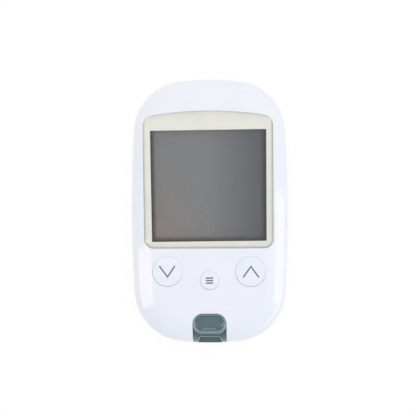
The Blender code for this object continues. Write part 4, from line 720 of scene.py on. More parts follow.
def tint(material, name, tone, kind="MIX"):
    """Takes a material's colour to the tone, or multiplies it by it, by the vertices' value of that name."""
    tree = material.node_tree
    shader = tree.nodes["Principled BSDF"]
    share = add(tree, "ShaderNodeAttribute", attribute_name=name).outputs["Fac"]
    plain = shader.inputs["Base Color"].links[0].from_socket
    feed(shader, {"Base Color": mix(tree, share, plain, linear(tone), kind)})


def note(piece, name, share):
    """Keeps a value from 0 to 1 on each vertex under that name: share(x, y, z)."""
    values = piece.data.attributes.new(name, "FLOAT", "POINT")
    for vertex in piece.data.vertices:
        values.data[vertex.index].value = share(*vertex.co)


# Painted shade: the cream darkens towards the print's outer edge under the window's bevel, less along the arched
# top.
tint(cream, "rim", "#BDBEB4", "MULTIPLY")
backing = grained("screen_ink_black", ("#1C1C1B", "#232322"), 0.0040, (0.50, 0.60))
foam = grained("foam_tape_black", ("#151515", "#202020"), 0.0003, (0.85, 0.95), relief=0.00002)
window_print = loft("window_print", [at_height(lens_plan(0.0), MASK_LOW)] + [
    at_height(lens_plan(-inset), MASK_TOP) for inset in (0.0, *RIM_BAND)])
carve(window_print, prism(VIEW_CORNERS, MASK_LOW - ABOVE, MASK_TOP + ABOVE))
smooth(window_print)
settle(window_print, (cream, backing), "housing", "cream_print", "lens_mask")
for face in window_print.data.polygons:
    face.material_index = 0 if face.normal.z > 0.5 else 1
border = [Vector(point) for point in lens_plan(0.0)]


def bevel_shade_share(x, y, z):
    """How much painted shade the print takes: 1 at its outer edge, falling to 0 at the end of its band, and weak
    along the arched top.
    """
    place = Vector((x, y))
    feet = [intersect_point_line(place, a, b) for a, b in zip(border, border[1:] + border[:1])]
    depth = min((place - foot).length for foot, share in feet if 0 <= share <= 1)
    upper = max(0.0, min(1.0, (y - LENS_TOP_Y + RIM_FADE[0]) / RIM_FADE[1]))
    return max(0.0, 1 - depth / RIM_BAND[1]) * (1 - ARCH_FADE * upper)


note(window_print, "rim", bevel_shade_share)
window_tape = prism(lens_plan(0.0), *TAPE_SPAN, "window_tape")
carve(window_tape, prism(lens_plan(-TAPE_WIDTH), LENS_SEAT - ABOVE, LENS_SEAT + ABOVE))
settle(smooth(window_tape), foam, "housing", "foam_tape", "lens_adhesive")

# Window
# Clear acrylic, moulded with a flat rear and a crowned front that carries on the case's own crown. A soft
# bevel runs round its edge, and the cream print shows through it as a lighter line, and as a darker line that is
# painted shade on the print's outer band.
LENS_LOW = MASK_TOP + 0.00005
LENS_PROUD, LENS_GROWN = 0.0001, 0.0001
BEVEL_WIDTH, BEVEL_DEPTH, BEVEL_EDGE, BEVEL_TURN = 0.0012, 0.0005, 0.00015, math.radians(68)
# The bevel inwards of its rounded edge, as the shares of its width that it has run and of its depth still to rise.
BEVEL_RISE = ((0.35, 0.62), (0.65, 0.27), (0.85, 0.08), (1.0, 0.0))
FRONT_RINGS = (0.97, 0.90, 0.78, 0.62, 0.42, 0.20)
SMEAR_SIZE = 0.0070


def lens_top(x, y):
    """Height of the window's front."""
    return crown(x, y) + LENS_PROUD


acrylic, tree, shader = new_material("acrylic_clear")
place = add(tree, "ShaderNodeTexCoord").outputs["Object"]
smear = add(tree, "ShaderNodeTexNoise", {"Vector": place, "Scale": 1 / SMEAR_SIZE, "Detail": 2.0}).outputs[0]
feed(shader, {"Base Color": linear("#FCFCFB"), "Transmission Weight": 1.0, "IOR": 1.49,
              "Roughness": remap(tree, smear, 0.4, 0.7, 0.0, 0.03)})
path = add(tree, "ShaderNodeLightPath")
passed = add(tree, "ShaderNodeMixShader", {
    0: calculate(tree, "MAXIMUM", path.outputs["Is Shadow Ray"], path.outputs["Is Diffuse Ray"]),
    1: shader.outputs[0],
    2: add(tree, "ShaderNodeBsdfTransparent", {"Color": linear("#FCFCFB")}).outputs[0]})
feed(tree.nodes["Material Output"], {"Surface": passed.outputs[0]})

centre_y = (LENS_LOW_Y + LENS_TOP_Y) / 2
lens_rings = [at_height(lens_plan(LENS_GROWN), LENS_LOW)]
for inset, drop in rounding(BEVEL_EDGE, 4, BEVEL_TURN):
    lens_rings.append(at_height(lens_plan(LENS_GROWN - inset),
                                lambda x, y: lens_top(x, y) - BEVEL_DEPTH - drop))
for share, drop in BEVEL_RISE:
    lens_rings.append(at_height(lens_plan(-BEVEL_WIDTH * share),
                                lambda x, y: lens_top(x, y) - BEVEL_DEPTH * drop))
edge = lens_rings[-1]
for share in FRONT_RINGS:
    lens_rings.append(at_height([(x * share, centre_y + (y - centre_y) * share) for x, y, z in edge], lens_top))
window = loft("window", lens_rings, tip=(0, centre_y, lens_top(0, centre_y)))
settle(smooth(window), acrylic, "housing", "clear_acrylic", "display_lens")

# Keys
# Three satin ABS caps that stand level with the face. Each has a skirt that fills its hole, a flange behind
# the cover and a post on its switch. Their marks are pad-printed in grey ink.
KEY_PROUD, KEY_EDGE = 0.00005, 0.00014
KEY_SKIRT = (0.000185, 0.00002, 0.00010)
KEY_POST, POST_FOOT, FLANGE_GAP, FLANGE_THICK = 0.0015, 0.0029, 0.0003, 0.0009
STROKE, INK_HEIGHT = 0.00050, 0.000015
LOWER_LEFT_WAY, GAP_SHADE_SHARE = Vector((-0.35, -0.94)), 0.5
# Satin ABS in the case's white, with painted shade in the gap round each cap, most of it at the lower left.
key_abs = grained("abs_satin_white", ("#E6EBF6", "#EAEEF8"), 0.0060, (0.16, 0.24), relief=0.000004)
tint(key_abs, "gap_shade", "#8C919B")
ink = grained("pad_ink_grey", ("#5E6978", "#667181"), 0.0010, (0.40, 0.50))


def key_top(x, y):
    """Height of a key's cap."""
    return crown(x, y) + KEY_PROUD


def stroke(points, width=STROKE, steps=8):
    """Plan of a pen stroke with round ends and a sharp bend, through two or three points."""
    points = [Vector(point) for point in points]
    ways = [(b - a).normalized() for a, b in zip(points, points[1:])]
    sides = [Vector((-way.y, way.x)) * width / 2 for way in ways]
    right, left = [points[0] - sides[0]], [points[0] + sides[0]]
    for here, before, after in zip(points[1:-1], sides, sides[1:]):
        mitre = (before + after) / (1 + before.normalized().dot(after.normalized()))
        right.append(here - mitre)
        left.append(here + mitre)
    right.append(points[-1] - sides[-1])
    left.append(points[-1] + sides[-1])
    turn = math.atan2(ways[-1].y, ways[-1].x)
    tip = arc(points[-1], width / 2, turn - math.pi / 2, turn + math.pi / 2, steps)[1:-1]
    turn = math.atan2(ways[0].y, ways[0].x)
    tail = arc(points[0], width / 2, turn + math.pi / 2, turn + math.pi * 1.5, steps)[1:-1]
    return [tuple(p) for p in right] + tip + [tuple(p) for p in reversed(left)] + tail


KEY_MARKS = {
    "down": [[(-0.0028, 0.00181), (0.0, -0.00195), (0.0026, 0.00181)]],
    "mode": [[(-0.0011, y), (0.0011, y)] for y in (0.0009, 0.0, -0.0009)],
    "up": [[(-0.0026, -0.0019), (0.0001, 0.00185), (0.0028, -0.0019)]],
}


def lower_left(x, y, place, radius):
    """0 at a cap's upper right edge and 1 at its lower left edge."""
    return 0.5 + 0.5 * max(-1.0, min(1.0, (Vector((x, y)) - Vector(place)).dot(LOWER_LEFT_WAY) / radius))


def painted_gap_shade(x, y, z):
    """Painted shade on a cap's side: the more, the nearer to its lower left. place and radius are the loop's."""
    low = z < key_top(x, y) - 0.9 * KEY_EDGE
    return GAP_SHADE_SHARE * lower_left(x, y, place, radius) ** 2 if low else 0.0


for name, (place, radius) in KEYS.items():
    flange_top = crown(*place) - KEY_COLLAR - FLANGE_GAP
    rings = [at_height(circle(place, size), z) for size, z in (
        (KEY_POST, BOARD_TOP + POST_FOOT), (KEY_POST, flange_top - FLANGE_THICK),
        (radius + KEY_FLANGE, flange_top - FLANGE_THICK), (radius + KEY_FLANGE, flange_top),
        (radius + KEY_SKIRT[0], flange_top))]
    rings += [at_height(circle(place, size), lambda x, y: key_top(x, y) - KEY_EDGE - KEY_SKIRT[1]
                        - KEY_SKIRT[2] * lower_left(x, y, place, radius))
              for size in (radius + KEY_SKIRT[0], radius)]
    rings += [at_height(circle(place, radius - inset), lambda x, y: key_top(x, y) - drop)
              for inset, drop in rounding(KEY_EDGE, 6)]
    rings.append(at_height(circle(place, radius * 0.6), key_top))
    cap = loft(f"keycap_{name}", rings, tip=(*place, key_top(*place)))
    # Painted shade in the gap round the cap, darkest at its lower left.
    note(cap, "gap_shade", painted_gap_shade)
    settle(smooth(cap), key_abs, f"key_{name}", "key_white", f"button_{name}")
    for number, points in enumerate(KEY_MARKS[name], 1):
        plan = stroke([(place[0] + x, place[1] + y) for x, y in points])
        mark = prism(plan, lambda x, y: key_top(x, y) - INK_HEIGHT, lambda x, y: key_top(x, y) + INK_HEIGHT,
                     f"mark_{name}_{number}")
        settle(smooth(mark), ink, f"key_{name}", "key_white")

# Strip port
# A slate-grey ABS block that follows the case's own form. The test strip goes in through the flared notch at
# its front, whose edge is rounded, and the ejector slides on its deck between two low rails.
PORT_REAR = 0.0121 - END_Y
DECK, RAIL_WIDTH, RAIL_HEIGHT = CASE_HEIGHT - 0.0030, 0.0006, 0.0005
SLOT_FLOOR, SLOT_HEIGHT, SLOT_WIDTH = BOARD_TOP + 0.0008, 0.0013, 0.0078
NOTCH_WIDTH, NOTCH_DEPTH, NOTCH_FLARE, NOTCH_CORNER = 0.0074, 0.0026, math.radians(21), 0.0006
NOTCH_FLOOR, NOTCH_EDGE = SLOT_FLOOR + 0.0004, 0.00035
EAR_SPAN, EAR_LENGTH, EAR_HEIGHTS = 0.0048, 0.0070, (0.0020, 0.0032)
EJECTOR_TRAVEL, SLIDE_GAP = 0.0030, 0.0002
PUSHER_GAP, PUSHER_THICK, SLOT_ROOF = 0.00015, 0.0009, 0.0010
PUSHER_LOW = SLOT_FLOOR + SLOT_HEIGHT + SLOT_ROOF + PUSHER_GAP
PUSHER_SPACE, PUSHER_FRONT = 0.0069, 0.0036
LEG_REAR, LEG_LENGTH, LEG_X, LEG_WIDTH = CUTOUT_REAR - 0.0023, 0.0014, 0.0019, 0.0010
PORT_SOFTNESS, RIM_CLIMB, NOTCH_RIM_HIGHLIGHT = 0.00012, 0.0010, 0.9
# Satin slate ABS. Its rims and the notch's rim carry painted highlights, a paler tone where light would catch them.
slate = grained("abs_satin_slate", ("#3D5D69", "#42626E"), 0.0020, (0.08, 0.14), relief=0.000003,
                specular_ior_level=0.55, coat_weight=0.4, coat_roughness=0.05)
# Painted highlight: a paler slate on rims and edges, by the vertices' value.
tint(slate, "painted_highlight", "#86999F")


def port_height(x, y):
    """Height of the port block's top: the case's own form, cut down to the deck."""
    place, normal, index, distance = front_skin[0].ray_cast(Vector((x, y, 2 * CASE_HEIGHT)), Vector((0, 0, -1)))
    return min(DECK, place.z) if place else front_low


def notch_plan(grow):
    """Plan of the notch, grown by grow: an inner edge, two round corners and two flared sides."""
    reach = NOTCH_CORNER + grow
    corner = (NOTCH_WIDTH / 2 - NOTCH_CORNER, NOTCH_DEPTH - END_Y - NOTCH_CORNER)
    half = arc(corner, reach, NOTCH_FLARE, math.pi / 2, 8)
    tangent = half[0]
    run = (tangent[1] + END_Y + ABOVE) / math.cos(NOTCH_FLARE)
    side = [(tangent[0] + math.sin(NOTCH_FLARE) * run * i / 16, tangent[1] - math.cos(NOTCH_FLARE) * run * i / 16)
            for i in range(16, 0, -1)]
    half = side + half + [(half[-1][0] * i / 6, half[-1][1]) for i in range(5, -1, -1)]
    return half + [(-x, y) for x, y in reversed(half[:-1])]


def soften(piece, width, segments=3, sharp=35):
    """Rounds the edges of a solid that was put together from plain forms."""
    modifier = piece.modifiers.new("soften", "BEVEL")
    modifier.width, modifier.segments = width, segments
    modifier.limit_method, modifier.angle_limit = "ANGLE", math.radians(sharp)
    bpy.context.view_layer.update()
    graph = bpy.context.evaluated_depsgraph_get()
    piece.data = bpy.data.meshes.new_from_object(piece.evaluated_get(graph))
    piece.modifiers.clear()
    return piece


port_rings, port_tip = front_rings(0.0, [case_ring(0.0, front_low), case_ring(0.0, front_low + SIDE_BAND)], 26,
                                   [0.7, 0.4])
port_block = loft("port_block", port_rings, tip=port_tip)
front, half = -END_Y - ABOVE, PORT_WIDTH / 2
carve(port_block, block((-half, half), (front, PORT_REAR), (PART_LINE, DECK + RAIL_HEIGHT)), "INTERSECT")
carve(port_block, block(about(0, PORT_WIDTH + EAR_SPAN), (CUTOUT_REAR - EAR_LENGTH, CUTOUT_REAR),
                        [PART_LINE + height for height in EAR_HEIGHTS]), "UNION")
for width, y_span, z_span in (
        (2 * (half - RAIL_WIDTH), (front, CUTOUT_REAR), (DECK, DECK + ABOVE)),
        (SLOT_WIDTH, (front, PORT_REAR + ABOVE), (SLOT_FLOOR, SLOT_FLOOR + SLOT_HEIGHT)),
        (PUSHER_SPACE, (PUSHER_FRONT - END_Y, PORT_REAR + ABOVE),
         (PUSHER_LOW - PUSHER_GAP, PUSHER_LOW + PUSHER_THICK + PUSHER_GAP))):
    carve(port_block, block(about(0, width), y_span, z_span))
for side in (-1, 1):
    carve(port_block, block(about(side * LEG_X, LEG_WIDTH + 2 * SLIDE_GAP),
                            (LEG_REAR - LEG_LENGTH - EJECTOR_TRAVEL - SLIDE_GAP, LEG_REAR + SLIDE_GAP),
                            (PUSHER_LOW + PUSHER_THICK, DECK + ABOVE)))
soften(port_block, PORT_SOFTNESS)
carve(port_block, mouth(notch_plan, NOTCH_FLOOR, port_height, NOTCH_EDGE))


def notch_highlight(x, y, z):
    """Painted highlight along the notch's rounded rim, which guides each strip in."""
    drop = port_height(x, y) - z
    on_rim = 0.00001 < drop < 0.9 * NOTCH_EDGE and y < NOTCH_DEPTH - END_Y + NOTCH_EDGE
    return NOTCH_RIM_HIGHLIGHT if on_rim and z > NOTCH_FLOOR + RIM_CLIMB and abs(x) < PORT_WIDTH / 2 - RAIL_WIDTH else 0.0


note(port_block, "painted_highlight", notch_highlight)
settle(smooth(port_block), slate, "housing", "slate_plastic", "strip_port")

# Ejector
# The same slate ABS, with painted highlights on its rims, front lip and grip bar: a slide with a scooped pan
# and a grip bar, two legs through the deck, and the pusher below it that drives the strip out.
THUMB_SIZE, THUMB_GAP, THUMB_PROUD, THUMB_SLOPE = (0.0120, 0.00725), 0.0001, 0.0003, 0.15
THUMB_CORNERS, THUMB_EDGE, THUMB_ROLL = (0.0036, 0.0032), 0.00045, (0.0017, 0.00040)
LEG_ROOT = 0.0009
# How much painted highlight the slide takes: on its rims, with what their ends and the front lip add, on the grip
# bar's top, and a slight even lightening else.
THUMB_HIGHLIGHT, GRIP_HIGHLIGHT, PAN_LIGHTEN = (0.40, 1.6, 0.30), 0.35, 0.05
PAN_RIMS, PAN_CORNERS = (0.0007, 0.00075, 0.0013), (0.0025, 0.0026)
PAN_WALL, PAN_DEPTH, PAN_LIP = 0.0016, 0.0010, 0.00015
GRIP_SIZE, GRIP_RISE, GRIP_EDGE, GRIP_CORNER = (0.0048, 0.0009), 0.00045, 0.0002, 0.0003
thumb_rear = CUTOUT_REAR - THUMB_GAP
thumb_front = thumb_rear - THUMB_SIZE[1]


def thumb_top(x, y):
    """Height of the thumb slide: level with the face at its rear, falling to a lip that rolls down."""
    roll = max(0.0, 1 - (y - thumb_front) / THUMB_ROLL[0])
    return crown(0, thumb_rear) + THUMB_PROUD - (thumb_rear - y) * THUMB_SLOPE - THUMB_ROLL[1] * roll**2


def pad_plan(rims, corners, inset):
    """Plan of the thumb slide inside its rear, side and front rims, inset all round. corners: rear and front."""
    rear, side, front = rims
    half = THUMB_SIZE[0] / 2 - side - inset
    points = []
    for sx, sy, quarter in ((1, -1, 3), (1, 1, 0), (-1, 1, 1), (-1, -1, 2)):
        radius = max(corners[0 if sy > 0 else 1] - inset, 0.0002)
        end = thumb_rear - rear - inset if sy > 0 else thumb_front + front + inset
        centre = (sx * (half - radius), end - sy * radius)
        points += arc(centre, radius, quarter * math.pi / 2, (quarter + 1) * math.pi / 2, 14)
    return points


def pad_outer(inset):
    """The slide's own plan."""
    return pad_plan((0.0, 0.0, 0.0), THUMB_CORNERS, inset)


def pad_pan(inset):
    """The pan's plan."""
    return pad_plan(PAN_RIMS, PAN_CORNERS, inset)


def grip_plan(inset):
    """Plan of the grip bar, inset all round."""
    return rounded_rectangle((0, grip_y), [size - 2 * inset for size in GRIP_SIZE], GRIP_CORNER - inset, 6)


rail_clear = DECK + RAIL_HEIGHT + SLIDE_GAP
keel = THUMB_SIZE[0] / 2 - (PORT_WIDTH / 2 - RAIL_WIDTH - SLIDE_GAP)
rings = [at_height(pad_outer(keel), DECK + SLIDE_GAP), at_height(pad_outer(keel), rail_clear),
         at_height(pad_outer(0.0), rail_clear)]
for inset, drop in rounding(THUMB_EDGE, 7):
    rings.append(at_height(pad_outer(inset), lambda x, y: thumb_top(x, y) - drop))
for inset, drop in rounding(PAN_LIP, 4):
    rings.append(at_height(pad_pan(-drop), lambda x, y: thumb_top(x, y) - inset))
for inset, drop in rounding(1.0, 12)[1:]:
    rings.append(at_height(pad_pan(PAN_WALL * inset),
                           lambda x, y: thumb_top(x, y) - PAN_DEPTH + (PAN_DEPTH - PAN_LIP) * drop))
thumb = loft("thumb_slide", rings)
grip_y = thumb_front + PAN_RIMS[2] + GRIP_SIZE[1] / 2
grip_low = thumb_top(0, grip_y) - PAN_DEPTH
grip = [at_height(grip_plan(0.0), z) for z in (grip_low - GRIP_CORNER, grip_low + GRIP_RISE - GRIP_EDGE)]
grip += [at_height(grip_plan(inset), grip_low + GRIP_RISE - drop) for inset, drop in rounding(GRIP_EDGE, 4)[1:]]
carve(thumb, loft("grip", grip), "UNION")
for side in (-1, 1):
    carve(thumb, block(about(side * LEG_X, LEG_WIDTH), (LEG_REAR - LEG_LENGTH, LEG_REAR),
                       (PUSHER_LOW, DECK + LEG_ROOT)), "UNION")


def thumb_highlight(x, y, z):
    """The slide's painted highlight: most on its front lip, then on its rims and along the top of the grip bar."""
    depth = thumb_top(x, y) - z
    inside = abs(x) < THUMB_SIZE[0] / 2 - PAN_RIMS[1] and thumb_front + PAN_RIMS[2] < y < thumb_rear - PAN_RIMS[0]
    if depth < 1.4 * PAN_LIP or (depth < 1.5 * THUMB_EDGE and not inside):
        side = max(0.0, 2 * abs(x) / THUMB_SIZE[0] - 0.6)
        lip = max(0.0, 1 - (y - thumb_front) / PAN_RIMS[2])
        return min(1.0, THUMB_HIGHLIGHT[0] + THUMB_HIGHLIGHT[1] * side + THUMB_HIGHLIGHT[2] * lip)
    on_grip = abs(x) < 0.51 * GRIP_SIZE[0] and abs(y - grip_y) < 0.51 * GRIP_SIZE[1]
    if not on_grip or z - grip_low - GRIP_RISE < -GRIP_EDGE:
        return PAN_LIGHTEN
    return GRIP_HIGHLIGHT if z - grip_low - GRIP_RISE > -0.00001 else 1.0


note(thumb, "painted_highlight", thumb_highlight)
settle(smooth(thumb), slate, "ejector", "slate_plastic", "ejector_button")
dress(slate, "ejector_pusher")

# Ejector return spring
# Hard-drawn spring wire, cold wound with close end turns. It stands between the port block and the
# pusher's tab.
SPRING_TURNS, SPRING_RADIUS, SPRING_WIRE = 7, 0.0009, 0.00015
SPRING_SEAT, TAB_Y, TURN_STEPS = 0.00005, 0.0173 - END_Y, 32
SPRING_SPAN = (PORT_REAR + SPRING_SEAT + SPRING_WIRE, TAB_Y - SPRING_SEAT - SPRING_WIRE)
SPRING_HEIGHT = PUSHER_LOW + PUSHER_THICK + SLIDE_GAP + SPRING_RADIUS + SPRING_WIRE
spring_steel = grained("spring_wire_steel", ("#A6A8AA", "#B8B9BA"), 0.0004, (0.22, 0.34), metallic=1.0)


def new_tree(name, inputs):
    """A Geometry Nodes tree with named inputs, given as name: (socket type, value), and one geometry output."""
    tree = bpy.data.node_groups.new(name, "GeometryNodeTree")
    for label, (kind, value) in inputs.items():
        socket = tree.interface.new_socket(label, in_out="INPUT", socket_type=f"NodeSocket{kind}")
        if value is not None:
            socket.default_value = value
    tree.interface.new_socket("Geometry", in_out="OUTPUT", socket_type="NodeSocketGeometry")
    return tree, add(tree, "NodeGroupInput").outputs


def close_tree(tree, geometry, material):
    """Ends a tree: what it made becomes one plain mesh in that material."""
    plain = add(tree, "GeometryNodeRealizeInstances", {"Geometry": geometry})
    coated = add(tree, "GeometryNodeSetMaterial", {"Geometry": plain.outputs[0], "Material": material})
    add(tree, "NodeGroupOutput", {"Geometry": coated.outputs[0]})


def triple(tree, **axes):
    """A vector of X, Y and Z, each a number or an output."""
    return add(tree, "ShaderNodeCombineXYZ", axes).outputs[0]


def on_circle(tree, turn, reach):
    """The two coordinates of a point at that turn and reach from a line."""
    return [calculate(tree, "MULTIPLY", calculate(tree, way, turn), reach) for way in ("COSINE", "SINE")]


def shifted(tree, place, shift):
    """The sum of two vectors."""
    return add(tree, "ShaderNodeVectorMath", {0: place, 1: shift}, operation="ADD").outputs[0]


def placed(tree, geometry, place):
    """A geometry with its points moved to that place."""
    return add(tree, "GeometryNodeSetPosition", {"Geometry": geometry, "Position": place}).outputs[0]


def drawn(tree, chain, section):
    """A solid of that section along a chain of points."""
    curve = add(tree, "GeometryNodeMeshToCurve", {"Mesh": chain}).outputs[0]
    return add(tree, "GeometryNodeCurveToMesh", {
        "Curve": curve, "Profile Curve": section, "Fill Caps": True}).outputs[0]


def grow(name, tree, inputs, points=()):
    """The mesh that a tree makes from the points, as a plain object."""
    mesh = bpy.data.meshes.new(name)
    mesh.from_pydata(points, [], [])
    piece = bpy.data.objects.new(name, mesh)
    scene.collection.objects.link(piece)
    modifier = piece.modifiers.new(name, "NODES")
    modifier.node_group = tree
    for item in tree.interface.items_tree:
        if item.name in inputs:
            modifier[item.identifier] = inputs[item.name]
    bpy.context.view_layer.update()
    piece.data = bpy.data.meshes.new_from_object(piece.evaluated_get(bpy.context.evaluated_depsgraph_get()))
    piece.modifiers.clear()
    return piece


winding, given = new_tree("wound_spring", {
    "Turns": ("Float", 7.0), "Coil Radius": ("Float", 0.001), "Wire Radius": ("Float", 0.0001),
    "Start": ("Vector", (0.0, 0.0, 0.0)), "Length": ("Float", 0.005), "Material": ("Material", None)})
line = add(winding, "GeometryNodeMeshLine", {"Count": TURN_STEPS * SPRING_TURNS + 1}).outputs[0]
index = add(winding, "GeometryNodeInputIndex").outputs[0]
share = calculate(winding, "DIVIDE", index, float(TURN_STEPS * SPRING_TURNS))
turn = calculate(winding, "MULTIPLY", share, given["Turns"], math.tau)
closed = calculate(winding, "MULTIPLY", given["Wire Radius"], 2.1, given["Turns"])
end_turn = calculate(winding, "DIVIDE", 1.0, given["Turns"])
opened = remap(winding, share, end_turn, calculate(winding, "SUBTRACT", 1.0, end_turn), 0.0,
               calculate(winding, "SUBTRACT", given["Length"], closed), "SMOOTHSTEP")
along = calculate(winding, "ADD", calculate(winding, "MULTIPLY", share, closed), opened)
across, up = on_circle(winding, turn, given["Coil Radius"])
helix = placed(winding, line, shifted(winding, triple(winding, X=across, Y=along, Z=up), given["Start"]))
section = add(winding, "GeometryNodeCurvePrimitiveCircle", {"Resolution": 12, "Radius": given["Wire Radius"]})
close_tree(winding, drawn(winding, helix, section.outputs[0]), given["Material"])
spring = grow("return_spring", winding, {
    "Turns": float(SPRING_TURNS), "Coil Radius": SPRING_RADIUS, "Wire Radius": SPRING_WIRE,
    "Start": (0.0, SPRING_SPAN[0], SPRING_HEIGHT), "Length": SPRING_SPAN[1] - SPRING_SPAN[0],
    "Material": spring_steel})
smooth(spring)
settle(spring, spring_steel, None, "spring_steel", "ejector_spring")
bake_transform(spring)

# Chip leads
# Gull-wing leads, stamped from tinned copper alloy and bent down to the board: twelve on each side of the
# processor and four on each long side of the memory chip. Their feet are soldered to the board's pads.
LEAD_THICK = 0.00014
LEAD_FOOT = BOARD_TOP + 0.6 * LEAD_THICK
# How a lead runs: how far each bend lies past the chip's edge, and how far below the shelf or above the foot.
LEAD_SHELF = ((-0.0002, 0.0), (0.00025, 0.0), (0.00035, 0.0001))
LEAD_FALL = ((0.0004, 0.0001), (0.0005, 0.0), (0.00085, 0.0))
# For each chip: the sides with leads, the leads on each, their pitch and their width.
CHIPS = {"processor_chip": (4, 12, 0.00075, 0.00030), "memory_chip": (2, 4, 0.00127, 0.00042)}
tinned_copper = grained("tinned_copper_alloy", ("#B7B9BA", "#C6C8C8"), 0.0005, (0.28, 0.42), metallic=1.0)


def points_in(tree, geometry):
    """How many points a geometry has."""
    return add(tree, "GeometryNodeAttributeDomainSize", {"Geometry": geometry}, component="MESH").outputs[0]


def point_of(tree, geometry, index):
    """Where the geometry's point with that index lies."""
    return add(tree, "GeometryNodeSampleIndex", {
        "Geometry": geometry, "Value": add(tree, "GeometryNodeInputPosition").outputs[0], "Index": index},
               data_type="FLOAT_VECTOR", domain="POINT").outputs[0]


def repeat(tree, points, piece, turn=0.0):
    """A copy of the piece on each point, turned about an upright line."""
    return add(tree, "GeometryNodeInstanceOnPoints", {
        "Points": points, "Instance": piece, "Rotation": triple(tree, Z=turn)}).outputs[0]


leading, given = new_tree("gull_wing_leads", {
    "Geometry": ("Geometry", None), "Sides": ("Int", 4), "Leads": ("Int", 12), "Pitch": ("Float", 0.0006),
    "Lead Width": ("Float", 0.0003), "Lead Thickness": ("Float", 0.0001), "Centre": ("Vector", (0.0, 0.0, 0.0)),
    "Material": ("Material", None)})
index = add(leading, "GeometryNodeInputIndex").outputs[0]
line = add(leading, "GeometryNodeMeshLine", {"Count": points_in(leading, given["Geometry"])}).outputs[0]
section = add(leading, "GeometryNodeCurvePrimitiveQuadrilateral", {
    "Width": given["Lead Width"], "Height": given["Lead Thickness"]})
lead = drawn(leading, placed(leading, line, point_of(leading, given["Geometry"], index)), section.outputs[0])
middle = calculate(leading, "MULTIPLY", calculate(leading, "SUBTRACT", given["Leads"], 1.0), -0.5)
row = add(leading, "GeometryNodeMeshLine", {
    "Count": given["Leads"], "Offset": triple(leading, Y=given["Pitch"]),
    "Start Location": triple(leading, Y=calculate(leading, "MULTIPLY", middle, given["Pitch"]))})
hub = add(leading, "GeometryNodeMeshLine", {"Count": given["Sides"], "Start Location": given["Centre"],
                                            "Offset": (0.0, 0.0, 0.0)})
side_turn = calculate(leading, "DIVIDE", calculate(leading, "MULTIPLY", index, math.tau), given["Sides"])
around = repeat(leading, hub.outputs[0], repeat(leading, row.outputs[0], lead), side_turn)
close_tree(leading, around, given["Material"])

for name, (sides, leads, pitch, width) in CHIPS.items():
    chip_low, chip_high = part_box(name)
    centre = [(low + high) / 2 for low, high in zip(chip_low, chip_high)]
    edge = (chip_high[0] - chip_low[0]) / 2
    path = [(edge + past, 0.0, centre[2] - fall) for past, fall in LEAD_SHELF]
    path += [(edge + past, 0.0, LEAD_FOOT + rise) for past, rise in LEAD_FALL]
    chip_leads = grow(f"{name}_leads", leading, {
        "Sides": sides, "Leads": leads, "Pitch": pitch, "Lead Width": width, "Lead Thickness": LEAD_THICK,
        "Centre": (centre[0], centre[1], 0.0), "Material": tinned_copper}, path)
    settle(smooth(chip_leads), tinned_copper, "housing", "screw_steel")

# Case screws
# Four self-tapping steel screws with domed heads, zinc-plated, that come up from the back into the front
# half's bosses. Each stops at its own angle.
SCREW_HEAD, SCREW_SHANK, SCREW_DOME = (0.0018, 0.0012), 0.0009, 0.0004
SCREW_SEAT, SCREW_TIP = COUNTERBORE[1] - 0.0001, CASE_HEIGHT - 0.0050
THREAD_PITCH, THREAD_DEPTH, THREAD_START = 0.0008, 0.00017, 0.0005
RECESS_ARM, RECESS_WAIST, RECESS_DEPTH, RECESS_OUT = 0.00115, 0.00032, 0.0011, 0.0001
screw_steel = grained("zinc_plated_steel", ("#B2B3B2", "#C6C7C4"), 0.0009, (0.24, 0.38), metallic=1.0)

turning, given = new_tree("turned_piece", {
    "Geometry": ("Geometry", None), "Segments": ("Int", 64), "Centre": ("Vector", (0.0, 0.0, 0.0)),
    "Thread Low": ("Float", 1.0), "Thread Pitch": ("Float", 0.001), "Thread Depth": ("Float", 0.0),
    "Material": ("Material", None)})
columns = calculate(turning, "ADD", given["Segments"], 1.0)
sheet = add(turning, "GeometryNodeMeshGrid", {
    "Vertices X": points_in(turning, given["Geometry"]), "Vertices Y": columns}).outputs[0]
index = add(turning, "GeometryNodeInputIndex").outputs[0]
row = calculate(turning, "FLOOR", calculate(turning, "DIVIDE", calculate(turning, "ADD", index, 0.5), columns))
column = calculate(turning, "SUBTRACT", index, calculate(turning, "MULTIPLY", row, columns))
turn = calculate(turning, "DIVIDE", calculate(turning, "MULTIPLY", column, math.tau), given["Segments"])
axes = add(turning, "ShaderNodeSeparateXYZ", {0: point_of(turning, given["Geometry"], row)}).outputs
threaded = calculate(turning, "GREATER_THAN", axes["Z"], given["Thread Low"])
winds = calculate(turning, "SUBTRACT", calculate(turning, "DIVIDE", axes["Z"], given["Thread Pitch"]),
                  calculate(turning, "DIVIDE", turn, math.tau))
flank = calculate(turning, "PINGPONG", winds, 0.5)
groove = calculate(turning, "MULTIPLY", flank, 2.0, given["Thread Depth"], threaded)
reach = calculate(turning, "MAXIMUM", calculate(turning, "SUBTRACT", axes["X"], groove), 0.0)
across, along = on_circle(turning, turn, reach)
place = shifted(turning, triple(turning, X=across, Y=along, Z=axes["Z"]), given["Centre"])
welded = add(turning, "GeometryNodeMergeByDistance", {
    "Geometry": placed(turning, sheet, place), "Distance": 1e-7}).outputs[0]
close_tree(turning, welded, given["Material"])

